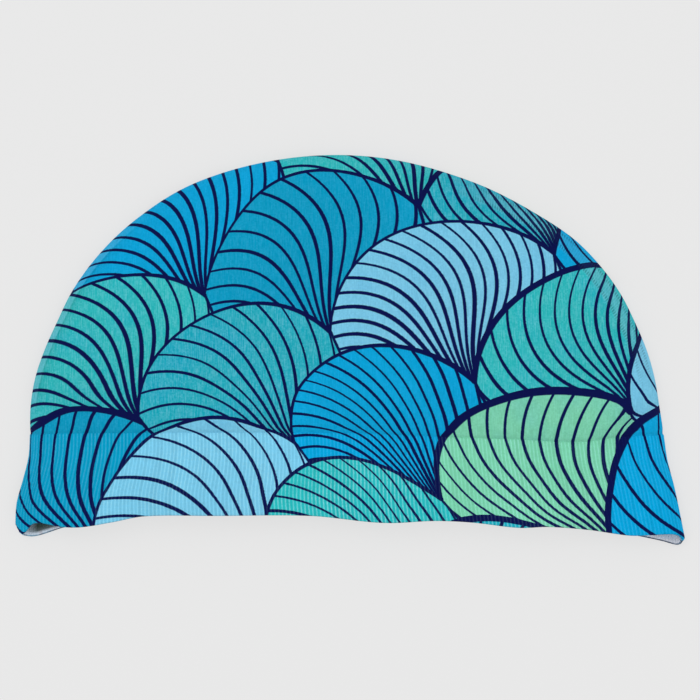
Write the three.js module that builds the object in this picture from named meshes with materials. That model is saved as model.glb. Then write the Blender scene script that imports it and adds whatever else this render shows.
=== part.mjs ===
// A knit skull cap, lying on its back on a table with its front face up, as a cap is laid down.
// Millimetres. +X is the cap's right as it is looked down on, +Y runs from the opening to the top
// of the crown, and +Z is up. The origin is the middle of its outline, on the table.
//
// The crown is a front and a back panel of fine jersey, overlocked together along the dome of the
// outline. The seam's allowance stands inside, against the front panel. The band is a tube of rib,
// turned at the hem so that it is two plies thick, and folded at its two sides.

import * as THREE from "three";

// Driving dimensions
const HEM_WIDTH = 256; // across the hem, from corner to corner
const CROWN_HEIGHT = 106; // from the join of crown and band to the top of the outline
const BAND_HEIGHT = 31.5; // from the join to the hem, where the hem hangs least
const HEM_DROP = 8.4; // how much lower the front of the hem hangs at its right corner
const JOIN_DIP = 3; // how far the join sags on the right of the front
const PUFF_HEIGHT = 15; // how far the front stands above the side folds, at its fullest
const CROWN_WALL = 1.2; // one ply of jersey
const BAND_WALL = 2.2; // two plies of rib
const FOLD_ROOM = 0.8; // the clear radius inside the band's side folds
const SEAM_WIDTH = 4.5; // of the overlocked allowance
const SEAM_THICKNESS = 1.5; // its two plies, pressed flat
const SEAM_INSET = 2.6; // from the outline to the allowance
const FOLD_DEPTH = 1.1; // of the deepest crease in the front
const PIECE_GAP = 0.3; // between neighbouring pieces

// How finely the cloth is faceted
const FRONT_COLUMNS = 40;
const FRONT_ROWS = 24;
const BACK_COLUMNS = 26;
const BACK_ROWS = 18;
const BAND_COLUMNS = 38;
const BAND_ROWS = 5;
const SEAM_COLUMNS = 56;

// Sections of the cap. rise goes from -1 at the hem to 0 at the join and 1 at the top. half and
// shift are the section's half width and the place of its middle, as shares of half the hem's
// width. puff is the front's height as a share of PUFF_HEIGHT.
const SECTIONS = [
  { rise: -1.0, half: 0.999, shift: 0.001, puff: 0.58 },
  { rise: -0.75, half: 0.989, shift: -0.005, puff: 0.6 },
  { rise: -0.5, half: 0.971, shift: -0.004, puff: 0.64 },
  { rise: -0.25, half: 0.952, shift: -0.006, puff: 0.68 },
  { rise: 0.0, half: 0.944, shift: -0.01, puff: 0.73 },
  { rise: 0.1, half: 0.937, shift: -0.015, puff: 0.84 },
  { rise: 0.2, half: 0.923, shift: -0.015, puff: 0.92 },
  { rise: 0.3, half: 0.897, shift: -0.013, puff: 0.97 },
  { rise: 0.4, half: 0.861, shift: -0.012, puff: 1.0 },
  { rise: 0.5, half: 0.82, shift: -0.013, puff: 1.0 },
  { rise: 0.6, half: 0.762, shift: -0.015, puff: 0.99 },
  { rise: 0.7, half: 0.684, shift: -0.019, puff: 0.97 },
  { rise: 0.8, half: 0.571, shift: -0.032, puff: 0.95 },
  { rise: 0.88, half: 0.454, shift: -0.042, puff: 0.93 },
  { rise: 0.94, half: 0.322, shift: -0.046, puff: 0.91 },
  { rise: 1.0, half: 0.0, shift: -0.04, puff: 0.9 },
];

// The hem, across the cap from its left fold (-1) to its right fold (1). front and back say how
// much lower each ply of the mouth hangs than BAND_HEIGHT, as shares of HEM_DROP.
const HEM = [
  { along: -1.0, front: 0.5, back: 0.5 },
  { along: -0.985, front: 0.84, back: 0.87 },
  { along: -0.97, front: 0.74, back: 0.93 },
  { along: -0.95, front: 0.41, back: 1.0 },
  { along: -0.93, front: 0.34, back: 0.91 },
  { along: -0.9, front: 0.4, back: 0.76 },
  { along: -0.86, front: 0.51, back: 0.56 },
  { along: -0.8, front: 0.52, back: 0.44 },
  { along: -0.71, front: 0.3, back: 0.22 },
  { along: -0.61, front: 0.02, back: -0.04 },
  { along: -0.4, front: 0.0, back: -0.07 },
  { along: -0.12, front: 0.0, back: -0.07 },
  { along: 0.06, front: 0.28, back: 0.18 },
  { along: 0.13, front: 0.32, back: 0.24 },
  { along: 0.25, front: 0.23, back: 0.15 },
  { along: 0.36, front: 0.3, back: 0.22 },
  { along: 0.5, front: 0.54, back: 0.46 },
  { along: 0.59, front: 0.5, back: 0.43 },
  { along: 0.71, front: 0.64, back: 0.57 },
  { along: 0.83, front: 0.9, back: 0.87 },
  { along: 0.89, front: 0.87, back: 1.05 },
  { along: 0.935, front: 0.81, back: 1.2 },
  { along: 0.96, front: 0.82, back: 1.31 },
  { along: 0.98, front: 0.88, back: 1.38 },
  { along: 1.0, front: 1.26, back: 1.26 },
];

// The line where the crown joins the band on the front, as shares of JOIN_DIP above the straight.
const JOIN = [
  { along: -1.0, level: 0.0 },
  { along: -0.8, level: 0.15 },
  { along: 0.0, level: 0.15 },
  { along: 0.28, level: -0.3 },
  { along: 0.53, level: -0.65 },
  { along: 0.73, level: -1.0 },
  { along: 0.86, level: -0.35 },
  { along: 1.0, level: 0.0 },
];

// Creases and soft hollows of the front. along and rise place the middle, as shares of half the
// hem's width and of the crown's height. reach and breadth are its half length and half width, as
// shares of the crown's height. turn is its direction in degrees from +X, and depth is a share of
// FOLD_DEPTH, below zero for a swelling.
const FOLDS = [
  { along: 0.83, rise: 0.05, reach: 0.1, breadth: 0.035, turn: 35, depth: 1.0 },
  { along: -0.8, rise: 0.1, reach: 0.13, breadth: 0.06, turn: -8, depth: 0.8 },
  { along: 0.3, rise: 0.1, reach: 0.2, breadth: 0.07, turn: 4, depth: 0.35 },
  { along: -0.3, rise: 0.16, reach: 0.22, breadth: 0.09, turn: 12, depth: -0.5 },
  { along: 0.12, rise: -0.26, reach: 0.1, breadth: 0.12, turn: 80, depth: -0.5 },
  { along: 0.55, rise: -0.28, reach: 0.1, breadth: 0.12, turn: 95, depth: -0.6 },
  { along: -0.62, rise: -0.26, reach: 0.1, breadth: 0.12, turn: 85, depth: 0.5 },
];

const halfHem = HEM_WIDTH / 2;
const foldRadius = BAND_WALL + FOLD_ROOM;
const crownFoldRadius = CROWN_WALL + FOLD_ROOM;
const quarterTurn = Math.PI / 2;

// One column of a table at any place between its rows, on a smooth curve through them.
function smooth(table, key, at, valueOf) {
  const last = table.length - 1;
  const next = table.findIndex((row) => row[key] > at);
  const i = next < 0 ? last - 1 : Math.max(next - 1, 0);
  const slopeAt = (n) => {
    const before = table[Math.max(n - 1, 0)];
    const after = table[Math.min(n + 1, last)];
    return (valueOf(after) - valueOf(before)) / (after[key] - before[key]);
  };
  const [a, b] = [table[i], table[i + 1]];
  const width = b[key] - a[key];
  const s = (at - a[key]) / width;
  const [s2, s3] = [s * s, s * s * s];
  return (
    (2 * s3 - 3 * s2 + 1) * valueOf(a) +
    (s3 - 2 * s2 + s) * width * slopeAt(i) +
    (3 * s2 - 2 * s3) * valueOf(b) +
    (s3 - s2) * width * slopeAt(i + 1)
  );
}

// A section's half width, the place of its middle and the front's height over the folds.
function sectionAt(rise) {
  const halfSquared = smooth(SECTIONS, "rise", rise, (row) => row.half ** 2);
  return {
    half: halfHem * Math.sqrt(Math.max(halfSquared, 0)),
    shift: halfHem * smooth(SECTIONS, "rise", rise, (row) => row.shift),
    puff: PUFF_HEIGHT * smooth(SECTIONS, "rise", rise, (row) => row.puff),
  };
}

// How far a point of the front lies below its smooth shape, because of the creases near it.
function creaseDepth(x, y) {
  let depth = 0;
  for (const fold of FOLDS) {
    const turn = THREE.MathUtils.degToRad(fold.turn);
    const dx = x - fold.along * halfHem;
    const dy = y - fold.rise * CROWN_HEIGHT;
    const along = (dx * Math.cos(turn) + dy * Math.sin(turn)) / (fold.reach * CROWN_HEIGHT);
    const across = (dy * Math.cos(turn) - dx * Math.sin(turn)) / (fold.breadth * CROWN_HEIGHT);
    depth += FOLD_DEPTH * fold.depth * Math.exp(-along * along - across * across);
  }
  return depth;
}

// The height of a section's place along the cap, before it is raised off the table.
function levelAt(side, across, rise) {
  const join = side > 0 ? JOIN_DIP * smooth(JOIN, "along", across, (row) => row.level) : 0;
  if (rise >= 0) return rise * CROWN_HEIGHT + join * (1 - rise) ** 2;
  const drop = smooth(HEM, "along", across, (row) => (side > 0 ? row.front : row.back));
  return join + rise * (join + BAND_HEIGHT + HEM_DROP * drop);
}

// A point of the cap's outer face. side is 1 on the front and -1 on the back. turn goes across the
// cap, from -90 degrees at the left fold to 90 at the right one. climb goes from -1 at the hem to 0
// at the join and 1 at the top, in even steps along the outline.
function outerPoint(side, turn, climb) {
  const rise = climb > 0 ? Math.sin(quarterTurn * climb) : climb;
  const narrowing = climb > 0 ? Math.cos(quarterTurn * climb) : 1;
  const section = sectionAt(rise);
  const across = Math.sin(turn);
  const x = section.shift + section.half * across;
  const y = levelAt(side, across, rise);

  // inward is 0 on the outline and 1 in the middle, and grows there as the height of a round edge
  const inward = Math.max(Math.cos(turn), 0) * narrowing;
  const softening = THREE.MathUtils.smoothstep(rise, 0, 0.2);
  const radius = THREE.MathUtils.lerp(foldRadius, crownFoldRadius, softening);
  const steepness = Math.sqrt(radius * halfHem);
  if (side < 0) {
    const flatFrom = (2 * foldRadius) / steepness;
    const lift = 1 - Math.min(inward / flatFrom, 1);
    return new THREE.Vector3(x, y, foldRadius * lift * lift);
  }
  const roundness = Math.max(steepness / section.puff, 1);
  const swell = section.puff * (1 - (1 - inward) ** roundness);
  return new THREE.Vector3(x, y, foldRadius + swell - creaseDepth(x, y) * inward);
}

// A point of the cloth that lies depth under the outer face. Near the join and in the band the
// depth is taken within the section, so that the pieces meet on the same face. At the top of the
// outline all turns are one point, which takes the depth of the middle one.
function clothPoint(side, turn, climb, depth) {
  const step = 1e-3;
  const at = Math.min(climb, 1 - 2 * step);
  const by = climb < 1 ? turn : 0;
  const sideways = outerPoint(side, by + step, at).sub(outerPoint(side, by - step, at));
  const upwards = outerPoint(side, by, at + step).sub(outerPoint(side, by, at - step));
  const outward = sideways.cross(upwards).multiplyScalar(side);
  outward.y *= THREE.MathUtils.clamp(climb / 0.25, 0, 1);
  return outerPoint(side, turn, climb).addScaledVector(outward.normalize(), -depth);
}

// Even steps from one value to another, both included.
function steps(from, to, count) {
  return Array.from({ length: count + 1 }, (_, i) => from + ((to - from) * i) / count);
}

// A closed mesh from rings of points that follow one another. Each ring is closed on itself. The
// rings close on one another too where looped is true, and are capped at both ends otherwise.
function meshFromRings(rings, looped) {
  const count = rings[0].length;
  const positions = rings.flat().flatMap((point) => [point.x, point.y, point.z]);
  const faces = [];
  const quad = (a, b, c, d) => faces.push(a, b, c, a, c, d);
  const links = looped ? rings.length : rings.length - 1;
  for (let r = 0; r < links; r++) {
    const from = r * count;
    const to = ((r + 1) % rings.length) * count;
    for (let p = 0; p < count; p++) {
      const q = (p + 1) % count;
      quad(from + p, from + q, to + q, to + p);
    }
  }
  if (!looped) {
    const end = (rings.length - 1) * count;
    for (let p = 1; p < count / 2; p++) {
      const q = count - 1 - p;
      quad(p - 1, q + 1, q, p);
      quad(end + p - 1, end + p, end + q, end + q + 1);
    }
  }
  const geometry = new THREE.BufferGeometry();
  geometry.setAttribute("position", new THREE.Float32BufferAttribute(positions, 3));
  geometry.setIndex(faces);
  return geometry;
}

// Drops the faces that have no area, and turns the rest round if the solid is inside out.
function tidied(geometry) {
  const position = geometry.getAttribute("position");
  const point = (i) => new THREE.Vector3().fromBufferAttribute(position, i);
  const key = (i) => point(i).toArray().map((v) => Math.round(v * 1e3)).join(",");
  const first = new Map();
  const index = Array.from(geometry.getIndex().array, (i) => {
    const name = key(i);
    if (!first.has(name)) first.set(name, i);
    return first.get(name);
  });
  const kept = [];
  let volume = 0;
  for (let i = 0; i < index.length; i += 3) {
    const [a, b, c] = index.slice(i, i + 3);
    if (a === b || b === c || c === a) continue;
    kept.push([a, b, c]);
    volume += point(a).dot(point(b).cross(point(c)));
  }
  geometry.setIndex(kept.flatMap(([a, b, c]) => (volume > 0 ? [a, b, c] : [a, c, b])));
  geometry.computeVertexNormals();
  return geometry;
}

// One panel of the crown, as a stack of flat rings from the join up to the top. Each ring runs
// across the panel's outer face and back along its inner face. The edges of the two panels keep
// PIECE_GAP apart all along the outline, and the back's flat face stays on the table.
function crownPanel(side, columns, rows) {
  const halfGap = PIECE_GAP / 2;
  const aboveJoin = halfGap / (CROWN_HEIGHT * quarterTurn);
  const turns = steps(-quarterTurn, quarterTurn, columns);
  const rings = steps(aboveJoin, 1, rows).map((climb) => {
    const outer = turns.map((turn) => clothPoint(side, turn, climb, 0));
    const inner = turns.map((turn) => clothPoint(side, turn, climb, CROWN_WALL));
    outer.forEach((point, i) => {
      const shift = side > 0 ? halfGap : (-halfGap * point.z) / foldRadius;
      inner[i].z += shift;
      point.z += shift;
    });
    return [...outer, ...inner.reverse()];
  });
  return tidied(meshFromRings(rings, false));
}

// The band, as a ring of flat loops. Each loop runs down the outer ply, round the turned hem and
// up the inner ply, and the ring goes across the front and back across the back.
function bandTube(columns, rows) {
  const belowJoin = -PIECE_GAP / 2 / BAND_HEIGHT;
  const down = steps(belowJoin, -1, rows);
  const noseReach = BAND_WALL / 2 / BAND_HEIGHT;
  const loopAt = (side, turn) => [
    ...down.slice(0, -1).map((climb) => clothPoint(side, turn, climb, 0)),
    clothPoint(side, turn, -1 + noseReach, 0),
    clothPoint(side, turn, -1 + noseReach * 0.3, BAND_WALL * 0.15),
    clothPoint(side, turn, -1, BAND_WALL / 2),
    clothPoint(side, turn, -1 + noseReach * 0.3, BAND_WALL * 0.85),
    clothPoint(side, turn, -1 + noseReach, BAND_WALL),
    ...down.slice(0, -1).reverse().map((climb) => clothPoint(side, turn, climb, BAND_WALL)),
  ];
  const across = steps(-quarterTurn, quarterTurn, columns);
  const loops = [
    ...across.slice(0, -1).map((turn) => loopAt(1, turn)),
    ...across.slice(1).reverse().map((turn) => loopAt(-1, turn)),
  ];
  return tidied(meshFromRings(loops, true));
}

// The seam's allowance, as a strip of sections that follow the outline from the right end of the
// join over the top to the left end, just under the front panel.
function seamStrip(columns) {
  const endAngle = (PIECE_GAP * 2) / CROWN_HEIGHT;
  const top = CROWN_WALL + PIECE_GAP;
  const edges = [SEAM_INSET, SEAM_INSET + SEAM_WIDTH / 2, SEAM_INSET + SEAM_WIDTH];
  const sections = steps(endAngle, Math.PI - endAngle, columns).map((angle) => {
    const reach = Math.hypot(halfHem * Math.cos(angle), CROWN_HEIGHT * Math.sin(angle));
    const at = (inset, depth) => {
      const ray = 1 - inset / reach;
      const rise = ray * Math.sin(angle);
      const climb = Math.asin(rise) / quarterTurn;
      const across = (ray * Math.cos(angle)) / Math.sqrt(1 - rise * rise);
      return clothPoint(1, Math.asin(across), climb, depth);
    };
    return [
      ...edges.map((inset) => at(inset, top)),
      ...edges.toReversed().map((inset) => at(inset, top + SEAM_THICKNESS)),
    ];
  });
  return tidied(meshFromRings(sections, false));
}

const printedJersey = new THREE.MeshStandardMaterial({
  color: 0x2fb0bd,
  roughness: 0.88,
  metalness: 0,
});
const printedRib = new THREE.MeshStandardMaterial({
  color: 0x1aa6cc,
  roughness: 0.9,
  metalness: 0,
});
const whiteThread = new THREE.MeshStandardMaterial({
  color: 0xe3e8ec,
  roughness: 0.85,
  metalness: 0,
});

function piece(name, geometry, material) {
  const mesh = new THREE.Mesh(geometry, material);
  mesh.name = name;
  return mesh;
}

const pieces = new THREE.Group();
pieces.add(
  piece("crown_front", crownPanel(1, FRONT_COLUMNS, FRONT_ROWS), printedJersey),
  piece("crown_back", crownPanel(-1, BACK_COLUMNS, BACK_ROWS), printedJersey),
  piece("crown_seam", seamStrip(SEAM_COLUMNS), whiteThread),
  piece("band", bandTube(BAND_COLUMNS, BAND_ROWS), printedRib),
);

// The middle of the outline comes to the origin, and the back's flat face onto the table.
const extent = new THREE.Box3().setFromObject(pieces, true);
pieces.position.set(
  -(extent.min.x + extent.max.x) / 2,
  -(extent.min.y + extent.max.y) / 2,
  -extent.min.z,
);

const cap = new THREE.Group();
cap.add(pieces);
export default cap;
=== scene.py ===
"""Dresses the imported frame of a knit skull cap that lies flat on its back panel.

The crown is two panels of fine printed jersey, sewn together along the dome of the outline. The
seam's allowance stands inside. The band is a tube of 1x1 rib, turned at the hem. Each piece
replaces the plain solid of the same place, and follows the same sections, in millimetres until
its mesh is made.
"""

from __future__ import annotations

import logging
import math
from collections.abc import Iterator
from contextlib import contextmanager
from dataclasses import astuple, dataclass, field
from enum import Enum

import bpy
import numpy as np
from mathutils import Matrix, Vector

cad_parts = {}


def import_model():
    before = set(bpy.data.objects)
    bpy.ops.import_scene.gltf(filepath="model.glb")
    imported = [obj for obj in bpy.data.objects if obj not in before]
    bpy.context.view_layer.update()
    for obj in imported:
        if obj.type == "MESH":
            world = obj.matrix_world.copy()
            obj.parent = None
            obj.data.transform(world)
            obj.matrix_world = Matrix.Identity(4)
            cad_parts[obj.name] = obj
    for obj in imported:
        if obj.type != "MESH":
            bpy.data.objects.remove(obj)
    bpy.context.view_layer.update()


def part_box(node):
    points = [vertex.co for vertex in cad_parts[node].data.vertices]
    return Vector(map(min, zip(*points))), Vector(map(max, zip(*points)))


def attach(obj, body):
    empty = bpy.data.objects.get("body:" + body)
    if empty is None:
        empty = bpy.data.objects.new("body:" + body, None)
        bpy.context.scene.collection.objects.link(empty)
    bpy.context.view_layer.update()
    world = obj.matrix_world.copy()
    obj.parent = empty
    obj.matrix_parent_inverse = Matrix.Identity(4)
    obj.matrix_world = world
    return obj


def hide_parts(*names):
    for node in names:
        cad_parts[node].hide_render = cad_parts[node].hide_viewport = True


log = logging.getLogger("skull_cap")

MM = 0.001
BODY = "root"
QUARTER_TURN = math.pi / 2
TINY = 1e-9
KNIT_MAP = "knit"
PRINT_MAP = "print"

# How near vertices are merged, how short an edge may be, and from which turn on it is rounded.
WELD = 0.004 * MM
SPECK = WELD / 10
SHARP = math.radians(55)

# The Mix node's sockets for colours, which share their names with those for numbers.
FIRST_COLOUR = 6
SECOND_COLOUR = 7
MIXED_COLOUR = 2

Colour = tuple[float, float, float, float]
Span = tuple[float, float]
Inputs = dict[str | int, object]


class Side(Enum):
    """Which panel of the flat cap a place is on."""

    FRONT = 1
    BACK = -1


class Slot(Enum):
    """The record's material slots."""

    JERSEY = "printed_jersey"
    RIB = "printed_rib"
    OVERLOCK = "white_overlock"


class Draw(Enum):
    """What chance sets in the finishes, each with a seed of its own."""

    JERSEY_STITCH = 1.0
    RIB_STITCH = 2.0
    WALE = 3.0
    INSIDE_STITCH = 4.0
    RIB_DASH = 7.0
    FAN_LINE = 9.0


@dataclass(frozen=True)
class Section:
    """The cap's section at one rise: -1 at the hem, 0 at the join, 1 at the top of the crown.

    half and shift are its half width and the place of its middle, as shares of half the hem's
    width. puff is the front's height over the side folds, as a share of the greatest one.
    """

    rise: float
    half: float
    shift: float
    puff: float


@dataclass(frozen=True)
class HemPlace:
    """How much lower the front and the back hang at one place along the hem, as shares."""

    along: float
    front: float
    back: float


@dataclass(frozen=True)
class JoinPlace:
    """The level of the crown's join with the band at one place across, as a share of its dip."""

    along: float
    level: float


@dataclass(frozen=True)
class Shown:
    """How plainly something shows at one place across the cap, from 0 to 1."""

    across: float
    share: float


@dataclass(frozen=True)
class Crease:
    """A crease of the front, or a swelling where depth is below zero.

    along and rise place its middle, as shares of half the hem's width and of the crown's height.
    reach and breadth are its half length and half width, as shares of the crown's height. turn is
    in degrees from +X, and depth is a share of the deepest crease.
    """

    along: float
    rise: float
    reach: float
    breadth: float
    turn: float
    depth: float


SECTIONS = (
    Section(-1.0, 0.999, 0.001, 0.58),
    Section(-0.75, 0.989, -0.005, 0.6),
    Section(-0.5, 0.971, -0.004, 0.64),
    Section(-0.25, 0.952, -0.006, 0.68),
    Section(0.0, 0.944, -0.01, 0.73),
    Section(0.1, 0.937, -0.015, 0.84),
    Section(0.2, 0.923, -0.015, 0.92),
    Section(0.3, 0.897, -0.013, 0.97),
    Section(0.4, 0.861, -0.012, 1.0),
    Section(0.5, 0.82, -0.013, 1.0),
    Section(0.6, 0.762, -0.015, 0.99),
    Section(0.7, 0.684, -0.019, 0.97),
    Section(0.8, 0.571, -0.032, 0.95),
    Section(0.88, 0.454, -0.042, 0.93),
    Section(0.94, 0.322, -0.046, 0.91),
    Section(1.0, 0.0, -0.04, 0.9),
)

HEM = (
    HemPlace(-1.0, 0.5, 0.5),
    HemPlace(-0.985, 0.84, 0.87),
    HemPlace(-0.97, 0.74, 0.95),
    HemPlace(-0.95, 0.41, 0.98),
    HemPlace(-0.93, 0.34, 0.93),
    HemPlace(-0.9, 0.4, 0.79),
    HemPlace(-0.86, 0.51, 0.59),
    HemPlace(-0.8, 0.52, 0.44),
    HemPlace(-0.71, 0.3, 0.22),
    HemPlace(-0.61, 0.02, -0.04),
    HemPlace(-0.4, 0.0, -0.07),
    HemPlace(-0.12, 0.0, -0.07),
    HemPlace(0.06, 0.28, 0.18),
    HemPlace(0.13, 0.32, 0.24),
    HemPlace(0.25, 0.23, 0.15),
    HemPlace(0.36, 0.3, 0.22),
    HemPlace(0.5, 0.54, 0.46),
    HemPlace(0.59, 0.5, 0.43),
    HemPlace(0.71, 0.64, 0.57),
    HemPlace(0.83, 0.9, 0.87),
    HemPlace(0.89, 0.89, 1.05),
    HemPlace(0.935, 0.86, 1.2),
    HemPlace(0.96, 0.86, 1.31),
    HemPlace(0.98, 0.91, 1.36),
    HemPlace(0.992, 1.0, 1.3),
    HemPlace(1.0, 1.16, 1.16),
)

JOIN = (
    JoinPlace(-1.0, 0.0),
    JoinPlace(-0.8, 0.15),
    JoinPlace(0.0, 0.15),
    JoinPlace(0.28, -0.3),
    JoinPlace(0.53, -0.65),
    JoinPlace(0.73, -1.0),
    JoinPlace(0.86, -0.35),
    JoinPlace(1.0, 0.0),
)

CREASES = (
    Crease(0.83, 0.05, 0.1, 0.035, 35, 1.0),
    Crease(-0.8, 0.1, 0.13, 0.06, -8, 0.8),
    Crease(0.3, 0.1, 0.2, 0.07, 4, 0.35),
    Crease(-0.3, 0.16, 0.22, 0.09, 12, -0.5),
    Crease(0.12, -0.26, 0.1, 0.12, 80, -0.5),
    Crease(0.55, -0.28, 0.1, 0.12, 95, -0.6),
    Crease(-0.62, -0.26, 0.1, 0.12, 85, 0.5),
)

# Painted shade, dark navy, on the turn of the back's hem: how much of it at places across the cap.
HEM_PAINTED_SHADE = (
    Shown(-1.0, 0.15),
    Shown(-0.95, 0.35),
    Shown(-0.88, 0.85),
    Shown(0.5, 0.85),
    Shown(0.95, 0.9),
    Shown(1.0, 0.35),
)

# How much painted shade darkens the inside of the mouth, at places across the cap.
PAINTED_MOUTH_SHADE = (
    Shown(-0.97, 0.35),
    Shown(-0.935, 0.95),
    Shown(-0.87, 0.9),
    Shown(-0.8, 0.25),
    Shown(1.0, 0.1),
)


def srgb(red: int, green: int, blue: int) -> Colour:
    """Turns a colour as it is seen, in parts of 255, into the linear one that a shader takes.

    Args:
        red: The red part.
        green: The green part.
        blue: The blue part.

    Returns:
        The linear colour, with an alpha of 1.
    """
    parts = [part / 255 for part in (red, green, blue)]
    linear = [part / 12.92 if part <= 0.04045 else ((part + 0.055) / 1.055) ** 2.4 for part in parts]
    return (linear[0], linear[1], linear[2], 1.0)


def table_columns(rows: tuple) -> np.ndarray:
    """A table's columns, one array for each field of its rows."""
    return np.array([astuple(row) for row in rows]).T


def smooth(places: np.ndarray, values: np.ndarray, at: np.ndarray) -> np.ndarray:
    """Reads a short table at any place, on a smooth curve through its rows.

    Args:
        places: The rows' places, rising.
        values: The rows' values.
        at: Where to read.

    Returns:
        The values there.
    """
    slopes = np.empty_like(values)
    slopes[1:-1] = (values[2:] - values[:-2]) / (places[2:] - places[:-2])
    slopes[0] = (values[1] - values[0]) / (places[1] - places[0])
    slopes[-1] = (values[-1] - values[-2]) / (places[-1] - places[-2])
    i = np.clip(np.searchsorted(places, at, side="right") - 1, 0, len(places) - 2)
    width = places[i + 1] - places[i]
    s = (at - places[i]) / width
    s2, s3 = s * s, s * s * s
    return (
        (2 * s3 - 3 * s2 + 1) * values[i]
        + (s3 - 2 * s2 + s) * width * slopes[i]
        + (3 * s2 - 2 * s3) * values[i + 1]
        + (s3 - s2) * width * slopes[i + 1]
    )


def between_rows(values: np.ndarray, row: np.ndarray, column: np.ndarray) -> np.ndarray:
    """Reads a grid of values at places between its rows and columns.

    Args:
        values: The grid.
        row: The places down it, in rows.
        column: The places along its rows, in columns.

    Returns:
        The values there.
    """
    first = np.minimum(row.astype(int), values.shape[0] - 2)
    inner = np.minimum(column.astype(int), values.shape[1] - 2)
    past, out = row - first, column - inner
    near = (1 - out) * values[first, inner] + out * values[first, inner + 1]
    far = (1 - out) * values[first + 1, inner] + out * values[first + 1, inner + 1]
    return (1 - past) * near + past * far


def lengths_along(points: np.ndarray) -> np.ndarray:
    """How far along a line of points each of them lies."""
    return np.concatenate([[0], np.cumsum(np.linalg.norm(np.diff(points, axis=0), axis=1))])


def step_up(value: np.ndarray, low: float, high: float) -> np.ndarray:
    """Rises smoothly from 0 where value is low to 1 where it is high."""
    s = np.clip((value - low) / (high - low), 0, 1)
    return s * s * (3 - 2 * s)


@dataclass(frozen=True)
class Stretch:
    """A stretch with soft ends: a share rises from 0 to 1 over its start and falls over its end."""

    start: Span
    end: Span

    def share(self, value: np.ndarray) -> np.ndarray:
        """How far inside the stretch each value lies, from 0 to 1."""
        return step_up(value, *self.start) * (1 - step_up(value, *self.end))


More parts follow.
